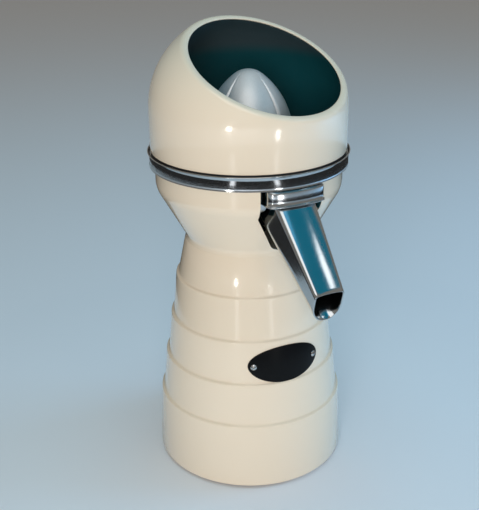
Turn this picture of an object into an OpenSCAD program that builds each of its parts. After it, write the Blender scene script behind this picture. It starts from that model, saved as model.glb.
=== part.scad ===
// Electric citrus juicer: a stepped body casting on a rubber sole, a cup casting on top of it, a
// stainless bowl with a sloping spout, a driven ribbed reamer and a turning dome with a slanted mouth.
// Millimetres, +Z up. The origin is on the spindle axis at counter level; -Y is the spout side.

/* [Body and cup castings] */
// Radius of the foot of the casting
foot_r = 81; // [79:0.5:84]
// Height of the foot band above the counter
foot_h = 57.2; // [52:0.2:62]
// Draw-in of the foot band from its bottom to its top
foot_taper = 2.5; // [1.5:0.1:3.5]
// Height of each of the four stepped bands
band_h = 36.1; // [34:0.1:38]
// Draw-in of each stepped band
band_taper = 3.1; // [2.2:0.1:3.4]
// Depth of the step at the foot of each band
step_in = 2.4; // [1.8:0.1:2.6]
// Radius of the two curves that shape a step
step_round = 1.8; // [1.6:0.1:2.6]
// Draw-in of the top band from its foot to the waist
waist_taper = 6.7; // [5.5:0.1:8]
// Radius of the hollow curve at the waist
waist_round = 8; // [5:0.5:12]
// Height from the waist to the foot of the cup's upright wall
flare_h = 48; // [46:0.2:50]
// How far the cup's upright wall stands back from the face of the bowl's band
cup_in = 4.3; // [3.8:0.1:5]
// Radius of the curve from the flare to the upright part
cup_round = 20; // [14:1:26]
// Height from the waist to the lower edge of the bowl's band
cup_h = 60.5; // [57:0.5:64]
// Wall thickness of the casting
wall = 4; // [3:0.1:4.5]
// How far the casting's lower edge stands above the counter
foot_gap = 1.8; // [1:0.1:3]
// Thickness of the cup's deck, over the motor space
deck_t = 6; // [4.5:0.5:8]
// Half the width of the notch that lets the spout out
notch_w = 26.5; // [24:0.5:29]
// Radius of the rounded bottom of the notch
notch_round = 11; // [8:0.5:14]
// Height at which the sides of the notch become upright, above its bottom
notch_rise = 34; // [30:1:40]

/* [Bowl and spout] */
// Radius of the polished band round the bowl
ring_r = 80; // [79.6:0.1:81]
// Height of the band
ring_h = 11.6; // [10:0.2:14]
// How far the band's lower edge flares out
ring_flare = 0.8; // [0.4:0.1:1.6]
// Thickness of the stainless sheet
sheet = 1.2; // [0.8:0.1:1.5]
// Gap between the bowl's wall and the inside of the cup
bowl_gap = 0.9; // [0.5:0.1:2]
// Radius of the curve between the bowl's wall and its floor
bowl_round = 18; // [16:0.5:22]
// Depth of the bowl from its ledge to the underside of its floor
bowl_deep = 36; // [33:0.5:38]
// Depth of the ledge below the rolled lip
lip_deep = 1.9; // [1.6:0.1:2.6]
// Inner radius of the bowl's centre tube
tube_r = 8.6; // [8.4:0.1:10]
// Height of the centre tube above the lip
tube_up = 7.3; // [5:0.1:8.5]
// Half the width of the collar over the spout
collar_w = 22.6; // [20.5:0.1:24]
// Height of the collar below the band
collar_h = 12.5; // [10:0.5:14]
// Radius of the collar's upright corners
collar_round = 4; // [3:0.5:6]
// Slope of the spout below the horizontal
spout_slope = 50.3; // [46:0.1:54]
// How far the top of the spout's mouth stands out past the bowl's band
spout_out = 45.6; // [40:0.1:52]
// Half the width of the spout where it leaves the bowl
spout_root_w = 18.5; // [16:0.1:19.5]
// Half the width of the spout's mouth
spout_mouth_w = 14.5; // [12:0.1:16]
// Depth of the spout, square to its slope, where it leaves the bowl
spout_root_h = 24; // [20:0.5:26]
// Depth of the spout at its mouth
spout_mouth_h = 20.2; // [17:0.1:22]
// Crown of the spout's top where it leaves the bowl
spout_crown = 6; // [2:0.5:8]
// Lean of the spout's mouth from upright
mouth_lean = 14.7; // [5:0.1:25]
// Wall thickness of the spout
spout_wall = 1; // [0.8:0.1:1.4]

/* [Dome] */
// How far the dome stands back from the face of the bowl's band
dome_in = 1; // [0.7:0.1:1.4]
// Height of the dome's upright skirt
dome_skirt = 32.2; // [28:0.2:36]
// Rise of the crown above the skirt, before the mouth is cut
dome_rise = 74.5; // [72:0.5:79]
// Wall thickness of the dome
dome_wall = 3.7; // [3:0.1:4.2]
// Thickness of the dark liner inside the dome
liner_t = 0.8; // [0.6:0.1:1.2]
// Tilt of the mouth from level
mouth_tilt = 27.8; // [24:0.1:31]
// How far the mouth is cut below the full crown, on the axis
mouth_drop = 27.9; // [25:0.1:31]
// Turn of the dome from the spout, as it is set down
dome_turn = 11.4; // [-30:0.1:30]

/* [Reamer and strainer] */
// Radius of the reamer at its base
reamer_r = 36; // [33:0.5:37]
// Height of the reamer's point above the ribs' foot
reamer_h = 55; // [50:0.5:58]
// How far the centre of the reamer's side curve lies past the axis
reamer_bulge = 30; // [26:0.5:36]
// Height of the upright rim under the ribs
reamer_rim = 7; // [5:0.5:9]
// Wall thickness of the reamer
reamer_wall = 3; // [2.4:0.1:3.6]
// Number of long grooves up to the point, with a short one between each pair
groove_n = 5; // [4:1:6]
// Depth of the grooves at the foot of the ribs
groove_d = 2.2; // [1.4:0.1:2.4]
// Opening angle of a groove
groove_angle = 62; // [50:1:80]
// Turn of the first long groove from the spout
groove_turn = 3; // [0:1:72]
// Gap between the strainer's side wall and the bowl
strainer_gap = 0.4; // [0.3:0.1:1]
// Depth of the strainer below the bowl's ledge
strainer_deep = 10; // [7:0.5:12]
// Thickness of the strainer sheet
strainer_t = 0.8; // [0.6:0.1:1]
// Width of a strainer slot
slot_w = 1.8; // [1.2:0.1:2.4]
// Slots in the innermost of the three rows
slot_n = 18; // [12:1:20]

/* [Spindle and motor] */
// Radius of the motor shaft
shaft_r = 6; // [5.5:0.1:6.5]
// Radius of the shaft's upper end, which drives the reamer
drive_r = 5; // [4.5:0.1:5.2]
// Radius of the drive pin
pin_r = 2; // [1.5:0.1:2.2]
// Half the length of the drive pin
pin_half = 7.8; // [7:0.1:8]
// Gap between the stator and the casting at the waist
motor_gap = 2.9; // [2.4:0.1:6]
// Height of the stator stack
stator_h = 52; // [44:1:56]
// Radius of the rotor, as a share of the stator's
rotor_share = 0.52; // [0.48:0.01:0.56]
// Air gap between the rotor and the stator
air_gap = 0.5; // [0.3:0.1:1]
// Height of a winding head beyond the stack
coil_h = 14; // [11:0.5:15]
// Outer radius of a ball bearing
bearing_r = 16; // [14:0.5:18]
// Height of a ball bearing
bearing_h = 10; // [8:0.5:10.5]
// Radius of the fan
fan_r = 37; // [32:0.5:38]
// Number of fan blades
fan_n = 9; // [6:1:12]
// Radius of the run capacitor
cap_r = 13; // [11:0.5:14]
// Length of the run capacitor
cap_l = 50; // [44:1:54]

/* [Base, switch and cable entry] */
// Thickness of the rubber sole
sole_t = 5; // [4:0.5:6]
// Thickness of the base plate
plate_t = 2; // [1.5:0.1:3]
// Distance of the four base screws from the edge of the base plate
screw_inset = 7.8; // [6.8:0.1:10]
// Height of the switch above the counter
switch_z = 38; // [34:0.5:42]
// Throw of the rocker from off to on
rocker_throw = 18; // [12:1:20]
// Height of the cable entry above the counter
gland_z = 17; // [16.5:0.1:18]
// Radius of the hole through the cable gland
cable_r = 3.7; // [3:0.1:4.2]

/* [Nameplate] */
// Half the width of the oval plate
plate_w = 31; // [28:0.1:34]
// Half the height of the oval plate
plate_h = 15.6; // [12:0.1:15.6]
// How far the plate's middle lies below the middle of its band
badge_low = 2.6; // [2.2:0.1:3.2]
// Turn of the plate from the spout's side
badge_turn = -2; // [-6:0.5:6]
// Thickness of the plate
badge_t = 1.1; // [0.8:0.1:1.6]
// Distance of each of the plate's screws from its end
badge_screw_in = 4.4; // [3.6:0.1:6]

/* [Fits] */
// Radial clearance of a running fit
run = 0.05; // [0.02:0.01:0.08]
// Gap between pieces that lift off each other
lift = 0.3; // [0.2:0.05:0.4]

/* [Hidden] */

$fn = 96;
over = 1;            // overshoot of a cut past a face
far = 200;           // longer than any radius of the part
bands = 4;
arc_n = 5;           // straight pieces in an outline's arc

// Colours
cream = [0.93, 0.86, 0.70];
steel = [0.70, 0.73, 0.75];
bright = [0.80, 0.82, 0.84];
dark = [0.07, 0.08, 0.09];
rubber = [0.05, 0.05, 0.05];
copper = [0.72, 0.42, 0.22];
zinc = [0.60, 0.61, 0.62];

// Radii of the casting and of what stands on it, from the foot and from the bowl's band
waist_r = foot_r - foot_taper - bands * step_in - (bands - 1) * band_taper - waist_taper;
cup_r = ring_r - cup_in;
bowl_r = cup_r - wall - bowl_gap;
strainer_r = bowl_r - sheet - strainer_gap;
dome_r = ring_r - dome_in;
spout_reach = ring_r + spout_out;
stator_r = waist_r - wall - motor_gap;
rotor_r = stator_r * rotor_share;

// Heights of the casting
waist_z = foot_h + bands * band_h;
ring_z = waist_z + cup_h;
deck_z = waist_z + 0.6;
notch_z = deck_z + 1.3;
step_turn = acos(1 - step_in / (2 * step_round));

// Heights of the bowl and the dome
lip_z = ring_z + ring_h;
ledge_z = lip_z - lip_deep;
gasket_t = 2;
rim_z = ledge_z - sheet - lift - gasket_t;
floor_z = ledge_z - bowl_deep;
tube_top = lip_z + tube_up;
band_in = ring_r - sheet;
glide_show = 0.9;
dome_z = lip_z + glide_show;
crown_z = dome_z + dome_skirt;
mouth_z = crown_z + dome_rise - mouth_drop;
guide_h = 4;

// Heights of the reamer and its drive
reamer_z = lip_z + lift;
ribs_z = reamer_z + reamer_rim;
apex_z = ribs_z + reamer_h;
side_r = reamer_r + reamer_bulge;
hub_r = 11;
hub_z = tube_top + 3;
pin_z = hub_z + 2 * pin_r;
shaft_top = ribs_z + reamer_h * 0.57;
strainer_z = ledge_z - strainer_deep;

// Heights of the motor, from the deck down
motor_z = deck_z - deck_t;
bracket_t = 12;
skirt_h = 6;
stack_top = motor_z - bracket_t - coil_h;
stack_z = stack_top - stator_h;
lower_z = stack_z - coil_h - bracket_t;
bolt_c = stator_r - 3.4;
bolt_r = 1.8;
coil_r = bolt_c - bolt_r - 1;
coil_in = rotor_r + 0.085 * stator_r;
coil_slope = (coil_r - coil_in) / 3;
bearing_inset = 1;
fan_h = 11;
fan_z = lower_z - 3 - fan_h;
shaft_z = fan_z - 2;
mount_c = 30;
mount_r = 2.5;
step_r = shaft_r + 3;
seal_r = 14;
slinger_r = 16;
slinger_h = 7;
slinger_z = deck_z + 5;

// Base
plate_z = sole_t + plate_t;
sole_r = foot_r - wall - 1.2;
base_screw_c = sole_r - screw_inset;
sole_edge = 1.2;
screw_r = 2;
screw_l = 12;
head_r = 4;
head_h = 1.8;
lug_r = 6;
lug_h = 16;
small_r = 1.5;
cap_y = -34;
cap_z = plate_z + 1.5 + cap_r;
clamp_t = 1.5;
clamp_l = 14;
clamp_foot = cap_r + clamp_t + 4.5;
block_y = 26;
ear_x = 21;
ear_h = 5;
block_w = 12;
pole_w = 8;
pole_h = 12;

// Rear fittings, which lie on +Y
flat_y = foot_r - foot_taper - 1;
switch_w = 19;
body_h = 17;
body_d = 18;
bezel_w = 30;
bezel_h = 22;
bezel_t = 1.6;
tab_t = 0.8;
tab_w = 5;
tab_l = 8;
tab_pitch = 6;
rocker_r = 6.1;
rocker_face_a = 11;
pivot_r = 1.5;
pivot_y = flat_y - 3;
boss_r = 11;
thread_r = 6;
thread_l = 7;
nut_t = 4.2;
gland_out = 11;
gland_in = flat_y - wall - 1.2;

// ---- outlines ----

// Points of an arc from angle a0 to a1 round [x, y]
function arc(x, y, r, a0, a1, n = arc_n) =
    [for (i = [0:n]) let (a = a0 + (a1 - a0) * i / n) [x + r * cos(a), y + r * sin(a)]];

// Radius of the foot and of the top of band i (1 to 4), and the height of its foot
function band_foot_r(i) = foot_r - foot_taper - step_in * i - band_taper * (i - 1);
function band_top_r(i) = i == bands ? waist_r : band_foot_r(i) - band_taper;
function band_z(i) = foot_h + (i - 1) * band_h;

// A step inwards from radius r at height z: a rounded shoulder, then a hollow corner
function step(r, z) = concat(
    arc(r - step_round, z, step_round, 0, step_turn),
    arc(r - step_in + step_round, z + 2 * step_round * sin(step_turn), step_round,
        180 + step_turn, 180));

waist_lean = atan((band_foot_r(bands) - waist_r) / band_h);

// The cup's flare: the waist's hollow curve, a straight wall and the round below the upright wall
flare_curves = waist_round + cup_round;
flare_out = cup_r - waist_r - flare_curves;
flare_l = sqrt(pow(flare_out, 2) + pow(flare_h, 2) - pow(flare_curves, 2));
cup_flare = atan2(flare_out, flare_h) + atan2(flare_curves, flare_l);
upright_z = waist_z + flare_h;

// The castings part just below the hollow curve of the waist
part_z = waist_z - waist_round * sin(waist_lean) - 1;
part_r = waist_r + waist_round * (1 - cos(waist_lean)) + tan(waist_lean);
spigot_r = part_r - wall;

function body_outside() = concat(
    [[foot_r - 2, foot_gap], [foot_r - 0.6, foot_gap + 0.6], [foot_r, foot_gap + 2]],
    step(foot_r - foot_taper, foot_h),
    [for (i = [1:bands - 1]) each step(band_top_r(i), band_z(i + 1))],
    [[part_r, part_z]]);

function cup_outside() = concat(
    [[part_r, part_z]],
    arc(waist_r + waist_round, waist_z, waist_round, 180 + waist_lean, 180 - cup_flare),
    arc(cup_r - cup_round, upright_z, cup_round, -cup_flare, 0),
    [[cup_r, ring_z + 1], [band_in - lift, ring_z + 2.4], [band_in - lift, rim_z - 0.6],
     [band_in - lift - 0.6, rim_z]]);

core_drop = 3;       // how far the hollow's steps lie below the outer ones
hollow_waist = asin((deck_z - waist_z) / (waist_round + wall));

function cup_inside() = concat(
    [[cup_r - wall, rim_z]],
    arc(cup_r - cup_round, upright_z, cup_round - wall, 0, -cup_flare),
    arc(waist_r + waist_round, waist_z, waist_round + wall, 180 - cup_flare, 180 - hollow_waist));

function band_inside(i) = [
    [band_top_r(i) - wall, band_z(i + 1) - core_drop], [band_foot_r(i) - wall, band_z(i) - core_drop]];

function motor_space() = concat(
    [[spigot_r, part_z], [spigot_r, motor_z - 1], band_inside(bands)[1]],
    [for (i = [bands - 1:-1:1]) each band_inside(i)],
    [[foot_r - foot_taper - wall, foot_h - core_drop], [foot_r - wall, foot_gap]]);

module spin(points) { rotate_extrude() polygon(points); }

// A ring between two radii and two heights
module ring(r_in, r_out, z0, z1) {
    difference() {
        translate([0, 0, z0]) cylinder(r = r_out, h = z1 - z0);
        translate([0, 0, z0 - over]) cylinder(r = r_in, h = z1 - z0 + 2 * over);
    }
}

module rod(r, z0, z1) { translate([0, 0, z0]) cylinder(r = r, h = z1 - z0); }

// Copies on a circle, n in all, the first at angle a from +X
module around(n, r, a = 0) {
    for (i = [0:n - 1]) rotate([0, 0, a + i * 360 / n]) translate([r, 0, 0]) children();
}

// A cylinder along Y from y0 to y1
module along_y(r, y0, y1) { translate([0, y0, 0]) rotate([-90, 0, 0]) cylinder(r = r, h = y1 - y0); }

module block(size, at) { translate(at - size / 2) cube(size); }

// ---- housing ----

// The notch's outline: upright sides, sides that close in, and a round bottom
notch_side = atan((notch_w - notch_round) / (notch_rise - notch_round)) * 0.86;
function notch_outline() = concat(
    [[notch_w, rim_z + over], [notch_w, notch_z + notch_rise]],
    arc(0, notch_z + notch_round, notch_round, -notch_side, -180 + notch_side, 12),
    [[-notch_w, notch_z + notch_rise], [-notch_w, rim_z + over]]);

module notch() {
    translate([0, -waist_r + wall + 12, 0]) rotate([90, 0, 0])
        linear_extrude(height = foot_r) polygon(notch_outline());
}

module rear_cuts() {
    translate([0, 0, gland_z]) {
        along_y(thread_r + 0.3, gland_in - over, foot_r);
        along_y(boss_r, flat_y, foot_r + over);
    }
    block([switch_w + 4.4, 4 * wall, body_h + 0.4], [0, flat_y - 2, switch_z]);
    block([bezel_w + 1, 2 * wall, bezel_h + 1], [0, flat_y + wall, switch_z]);
}

module body_casting() color(cream) difference() {
    union() {
        spin(concat(body_outside(), motor_space()));
        intersection() {
            around(4, base_screw_c, 45) {
                rod(lug_r, plate_z, plate_z + lug_h);
                translate([0, -lug_r, plate_z]) cube([foot_r - base_screw_c, 2 * lug_r, lug_h]);
            }
            rod(foot_r - wall / 2, plate_z, plate_z + lug_h);
        }
        intersection() {
            translate([0, 0, gland_z]) along_y(boss_r, gland_in, flat_y);
            rod(foot_r - wall / 2, plate_z, foot_h);
        }
    }
    around(4, base_screw_c, 45) rod(screw_r, plate_z - over, plate_z + screw_l + 0.5);
    rear_cuts();
    badge_shanks();
}

// The cup with its deck, which fits into the top of the body and carries the motor
module cup_casting() color(cream) difference() {
    spin(concat(cup_outside(), cup_inside(),
                [[seal_r, deck_z], [seal_r, motor_z], [spigot_r, motor_z], [spigot_r, part_z]]));
    around(4, mount_c, 45) rod(mount_r + 0.2, motor_z - over, deck_z + over);
    notch();
}

module base_plate() color(zinc) difference() {
    rod(sole_r, sole_t, plate_z);
    around(4, base_screw_c, 45) rod(screw_r + 0.3, sole_t - over, plate_z + over);
    inner_screw_places() rod(small_r, sole_t - over, plate_z + over);
}

module rubber_sole() color(rubber) difference() {
    union() {
        rod(sole_r, sole_edge, sole_t);
        cylinder(r1 = sole_r - sole_edge, r2 = sole_r, h = sole_edge);
    }
    around(4, base_screw_c, 45) rod(head_r + 0.8, sole_t - head_h - 0.8, sole_t + over);
    inner_screw_places() rod(small_r + 0.6, sole_t - 1.5, sole_t + over);
}

module base_screws() color(zinc) around(4, base_screw_c, 45) {
    rod(screw_r, sole_t, plate_z + screw_l);
    rod(head_r, sole_t - head_h, sole_t);
}

// ---- nameplate ----

// The band that carries the plate, grown outwards by g
badge_z0 = band_z(2) + 2 * step_round * sin(step_turn);
badge_z1 = band_z(3);
badge_z = (badge_z0 + badge_z1) / 2 - badge_low;
badge_lean = atan(band_taper / (badge_z1 - badge_z0));
badge_r = band_foot_r(2) - (badge_z - badge_z0) * tan(badge_lean);
badge_seat = (badge_r + badge_t) / cos(badge_lean);
badge_screw_a = asin((plate_w - badge_screw_in) / badge_r);
badge_pin = 1.2;
badge_head_r = 2.6;
badge_head_h = 1.3;
badge_head_rim = 0.4;

module plate_band(g) {
    drop = 2 * step_round;
    translate([0, 0, badge_z0 - drop])
        cylinder(r1 = band_foot_r(2) + drop * tan(badge_lean) + g, r2 = band_top_r(2) + g,
                 h = badge_z1 - badge_z0 + drop);
}

module badge_screw_place() {
    for (s = [-1, 1]) translate([0, 0, badge_z - badge_seat * sin(badge_lean)])
        rotate([0, 0, s * badge_screw_a - 90 + badge_turn])
            rotate([0, 90 - badge_lean, 0]) children();
}

module badge_shanks() {
    badge_screw_place() translate([0, 0, badge_seat - badge_t - wall + 1])
        cylinder(r = badge_pin, h = wall + badge_t + 2);
}

module nameplate() color(dark) difference() {
    intersection() {
        plate_band(badge_t);
        rotate([0, 0, badge_turn]) translate([0, -badge_r / 2, badge_z]) rotate([90, 0, 0])
            linear_extrude(height = badge_r)
                polygon([for (i = [0:47]) [plate_w * cos(7.5 * i), plate_h * sin(7.5 * i)]]);
    }
    spin(concat([[0, foot_gap]], body_outside(), [[0, part_z]]));
    badge_shanks();
}

module nameplate_screws() color(bright) badge_screw_place() translate([0, 0, badge_seat]) {
    ball_r = (badge_head_r * badge_head_r + badge_head_h * badge_head_h) / (2 * badge_head_h);
    spin(concat(
        [[0.01, 1 - badge_t - wall], [badge_pin, 1 - badge_t - wall], [badge_pin, 0.02],
         [badge_head_r, 0.02]],
        arc(0, badge_head_rim + badge_head_h - ball_r, ball_r, acos(badge_head_r / ball_r), 89.8)));
}

// ---- motor ----

// A motor end bracket with its bearing seat; side is 1 for the upper one, -1 for the lower
module bracket(z, side) {
    difference() {
        union() {
            rod(stator_r, z, z + bracket_t);
            translate([0, 0, side > 0 ? z - coil_h : z + bracket_t])
                difference() {
                    cylinder(r = stator_r, h = coil_h);
                    translate([0, 0, -over]) cylinder(r = coil_r + 0.6, h = coil_h + 2 * over);
                }
        }
        rod(shaft_r + 2, z - over, z + bracket_t + over);
        rod(bearing_r, side > 0 ? z - over : z + bearing_inset,
            side > 0 ? z + bracket_t - bearing_inset : z + bracket_t + over);
        around(4, bolt_c) rod(bolt_r, z - coil_h - over,
                              side > 0 ? z + bracket_t - 2 : z + bracket_t + coil_h + over);
        if (side > 0) around(4, mount_c, 45) rod(mount_r, z + 2, z + bracket_t + over);
    }
}

module upper_motor_bracket() color(zinc) bracket(motor_z - bracket_t, 1);
module lower_motor_bracket() color(zinc) bracket(lower_z, -1);

module stator_stack() color([0.35, 0.36, 0.38]) difference() {
    rod(stator_r, stack_z, stack_top);
    rod(rotor_r + air_gap, stack_z - over, stack_top + over);
    around(4, bolt_c) rod(bolt_r, stack_z - over, stack_top + over);
}

module winding_head(z) {
    translate([0, 0, z]) spin([
        [coil_in, 0], [coil_r, 0], [coil_r, coil_h - 5], [coil_r - coil_slope, coil_h - 1],
        [coil_in + coil_slope, coil_h - 1], [coil_in, coil_h - 5]]);
}

module stator_windings() color(copper) {
    winding_head(stack_top);
    mirror([0, 0, 1]) winding_head(-stack_z);
}

// A shielded ball bearing
module bearing(z) {
    race = (bearing_r - shaft_r) * 0.28;
    difference() {
        ring(shaft_r + run, bearing_r, z, z + bearing_h);
        for (s = [z - over, z + bearing_h - 0.6])
            ring(shaft_r + race, bearing_r - race, s, s + 0.6 + over);
    }
}

module upper_bearing() color(bright) bearing(motor_z - bearing_inset - bearing_h);
module lower_bearing() color(bright) bearing(lower_z + bearing_inset);

module motor_through_bolts() color(zinc) around(4, bolt_c) {
    rod(bolt_r, lower_z, motor_z - 2.5);
    rod(3.2, lower_z - 3, lower_z);
}

module motor_mount_screws() color(zinc) around(4, mount_c, 45) {
    rod(mount_r, motor_z - bracket_t + 3, deck_z);
    difference() {
        rod(4.5, deck_z, deck_z + 3);
        translate([0, 0, deck_z + 1.4]) cylinder(r = 2, h = 3, $fn = 6);
    }
}

module shaft_seal() color(rubber) spin([
    [shaft_r + 3, motor_z + 0.4], [seal_r, motor_z + 0.4], [seal_r, deck_z], [shaft_r + run, deck_z],
    [shaft_r + run, deck_z - 1.4], [shaft_r + 2.2, deck_z - 2]]);

// ---- wiring pieces on the base plate ----

module run_capacitor() color([0.82, 0.83, 0.84]) translate([0, cap_y, cap_z]) rotate([0, 90, 0]) {
    translate([0, 0, -cap_l / 2]) cylinder(r = cap_r, h = cap_l);
    translate([0, 0, cap_l / 2]) cylinder(r = cap_r - 2, h = 2);
    for (s = [-1, 1]) translate([-1.5, s * 5 - 0.4, cap_l / 2 + 2]) cube([3, 0.8, 6]);
}

module capacitor_clamp() color(zinc) translate([0, cap_y, 0]) rotate([0, 0, 90]) difference() {
    union() {
        translate([0, 0, cap_z]) along_y(cap_r + clamp_t, -clamp_l / 2, clamp_l / 2);
        block([2 * (cap_r + clamp_t), clamp_l, cap_z - plate_z],
              [0, 0, (cap_z + plate_z) / 2]);
        block([2 * clamp_foot + 9, clamp_l, clamp_t], [0, 0, plate_z + clamp_t / 2]);
    }
    translate([0, 0, cap_z]) along_y(cap_r, -clamp_l, clamp_l);
    around(2, clamp_foot) rod(small_r, plate_z - over, plate_z + clamp_t + over);
}

// Places of the small screws in the base plate: two for the clamp, two for the block
module inner_screw_places() {
    translate([0, cap_y, 0]) around(2, clamp_foot, 90) children();
    translate([0, block_y, 0]) around(2, ear_x) children();
}

module terminal_block() color([0.88, 0.87, 0.82]) translate([0, block_y, plate_z]) difference() {
    union() {
        block([2 * ear_x + 7, block_w, ear_h], [0, 0, ear_h / 2]);
        for (i = [-1.5:1.5]) block([pole_w - 1.6, block_w + 2, pole_h], [i * pole_w, 0, 1 + pole_h / 2]);
    }
    for (i = [-1.5:1.5]) translate([i * pole_w, 0, ear_h + 1]) cylinder(r = pole_w / 4, h = pole_h);
    around(2, ear_x) rod(small_r, -over, ear_h + over);
}

module small_screw(seat) {
    rod(small_r, sole_t, seat);
    rod(2.8, seat, seat + 1.6);
}

module inner_screws() color(zinc) {
    translate([0, cap_y, 0]) around(2, clamp_foot, 90) small_screw(plate_z + clamp_t);
    translate([0, block_y, 0]) around(2, ear_x) small_screw(plate_z + ear_h);
}

// ---- rear fittings ----

module cable_gland() color(rubber) translate([0, 0, gland_z]) difference() {
    union() {
        along_y(thread_r, gland_in - thread_l, flat_y);
        along_y(9.5, flat_y, flat_y + 4);
        translate([0, flat_y + 4, 0]) rotate([-90, 0, 0]) cylinder(r1 = 8, r2 = 6, h = gland_out - 4);
    }
    along_y(cable_r, gland_in - thread_l - over, flat_y + gland_out + over);
}

module gland_locknut() color(zinc) translate([0, gland_in - nut_t, gland_z]) rotate([-90, 0, 0])
    difference() {
        cylinder(r = 10, h = nut_t, $fn = 6);
        translate([0, 0, -over]) cylinder(r = thread_r, h = nut_t + 2 * over);
    }

module rocker_place(g, half) {
    translate([-half, pivot_y, switch_z]) rotate([0, 90, 0]) cylinder(r = rocker_r + g, h = 2 * half);
}

module switch_housing() color(dark) difference() {
    union() {
        block([switch_w + 4, body_d, body_h], [0, flat_y - body_d / 2, switch_z]);
        block([bezel_w, bezel_t, bezel_h], [0, flat_y + bezel_t / 2, switch_z]);
        for (i = [-1:1]) block([tab_t, tab_l, tab_w], [i * tab_pitch, flat_y - body_d - tab_l / 2, switch_z]);
    }
    rocker_place(lift, switch_w / 2);
    block([switch_w, 2 * rocker_r, 2 * (rocker_r + lift)], [0, pivot_y + rocker_r, switch_z]);
    translate([-switch_w / 2 - 1.5, pivot_y, switch_z]) rotate([0, 90, 0])
        cylinder(r = pivot_r + run, h = switch_w + 3);
}

module switch_rocker() color([0.12, 0.12, 0.13]) {
    translate([0, pivot_y, switch_z]) rotate([-rocker_throw / 2, 0, 0]) difference() {
        translate([-switch_w / 2 + lift, 0, 0]) rotate([0, 90, 0])
            cylinder(r = rocker_r, h = switch_w - 2 * lift);
        for (s = [-1, 1]) rotate([s * rocker_face_a, 0, 0])
            translate([-switch_w, rocker_r * 0.69, s > 0 ? 0 : -far / 2]) cube([2 * switch_w, far, far / 2]);
    }
    for (s = [-1, 1]) translate([s > 0 ? switch_w / 2 - 0.4 : -switch_w / 2 - 1.2, pivot_y, switch_z])
        rotate([0, 90, 0]) cylinder(r = pivot_r, h = 1.6);
}

module bowl_gasket() color(rubber) difference() {
    ring(cup_r - wall + 0.8, band_in - lift - 1, rim_z, rim_z + gasket_t);
    translate([-notch_w, -foot_r - 10, rim_z - over]) cube([2 * notch_w, foot_r, gasket_t + 2 * over]);
}

// ---- spindle ----

module motor_shaft() color(bright) difference() {
    union() {
        rod(shaft_r, shaft_z, hub_z - 6);
        translate([0, 0, hub_z - 6]) cylinder(r1 = shaft_r, r2 = drive_r, h = 2);
        rod(drive_r, hub_z - 4, shaft_top - 1.5);
        translate([0, 0, shaft_top - 1.5]) cylinder(r1 = drive_r, r2 = drive_r - 1.5, h = 1.5);
    }
    translate([-far / 2, 0, pin_z]) rotate([0, 90, 0]) cylinder(r = pin_r, h = far);
}

module drive_pin() color(steel) translate([-pin_half, 0, pin_z]) rotate([0, 90, 0])
    cylinder(r = pin_r, h = 2 * pin_half);

module rotor() color([0.55, 0.56, 0.58]) difference() {
    union() {
        rod(rotor_r, stack_z, stack_top);
        rod(rotor_r - 3, stack_z - 5, stack_top + 5);
    }
    rod(rotor_r - 10, stack_z - 5 - over, stack_z - 2);
    rod(rotor_r - 10, stack_top + 2, stack_top + 5 + over);
    rod(shaft_r, stack_z - 10, stack_top + 10);
}

module cooling_fan() color([0.20, 0.21, 0.22]) difference() {
    union() {
        rod(shaft_r + 4, fan_z, fan_z + fan_h);
        rod(fan_r, fan_z + fan_h - 1.6, fan_z + fan_h);
        around(fan_n, 0) translate([shaft_r + 2, -0.8, fan_z]) cube([fan_r - shaft_r - 2.5, 1.6, fan_h]);
    }
    rod(shaft_r, fan_z - over, fan_z + fan_h + over);
}

module slinger() color(rubber) translate([0, 0, slinger_z]) spin([
    [shaft_r, 0], [step_r, 0], [step_r, slinger_h * 0.57], [slinger_r, slinger_h * 0.37],
    [slinger_r, slinger_h * 0.57], [step_r, slinger_h], [shaft_r, slinger_h]]);

// ---- reamer ----

nose_r = (side_r * side_r - reamer_h * reamer_h - reamer_bulge * reamer_bulge)
    / (2 * (side_r - reamer_h));
nose_z = apex_z - nose_r;
nose_a = atan2(nose_z - ribs_z, reamer_bulge);

// Radius and height of each ring of the ribbed skin, from its foot to just short of the point
rim_r = reamer_r + 0.8;
rim_h = 3;
skin = concat([[reamer_r, reamer_z + rim_h - 0.6]],
              arc(-reamer_bulge, ribs_z, side_r, 0, nose_a, 8),
              [for (i = [1:3]) let (a = nose_a + (80 - nose_a) * i / 3)
                  [nose_r * cos(a), nose_z + nose_r * sin(a)]]);

// Depth of a groove at height z: a long one reaches the point, a short one runs out below it
short_share = 0.5;
function groove_at(long, z) =
    let (k = max(0, z - ribs_z) / reamer_h)
    groove_d * (long ? min(1, 2.4 * (1 - k)) : max(0, 1 - k / short_share));

// Half the width of a groove at height z, as an angle on radius r
function half_groove(long, r, z) =
    max(0.35, groove_at(long, z) * tan(groove_angle / 2)) * 180 / (PI * r);

// One ring of the skin: for each groove its two edges and its bottom, then the rib beside it
rib_n = 4;
function skin_ring(r, z) = [
    for (g = [0:2 * groove_n - 1])
        let (long = g % 2 == 0, pitch = 180 / groove_n, e = half_groove(long, r, z),
             rib = pitch - e - half_groove(!long, r, z))
        for (j = [-2:rib_n - 1])
            let (a = groove_turn - 90 + g * pitch + (j == -2 ? -e : j == -1 ? 0 : e + rib * j / rib_n),
                 d = j == -1 ? groove_at(long, z) : 0)
            [(r - d) * cos(a), (r - d) * sin(a), z]];

module ribbed_skin() {
    n = 2 * groove_n * (rib_n + 2);
    last = (len(skin) - 1) * n;
    points = concat([for (p = skin) each skin_ring(p[0], p[1])],
                    [[0, 0, skin[0][1]], [0, 0, apex_z]]);
    polyhedron(points, [
        for (i = [0:n - 1]) let (j = (i + 1) % n)
            each concat([[i, j, last + n], [last + j, last + i, last + n + 1]],
                        [for (s = [0:n:last - n]) each [[s + i, s + n + j, s + j],
                                                        [s + i, s + n + i, s + n + j]]])]);
}

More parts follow.
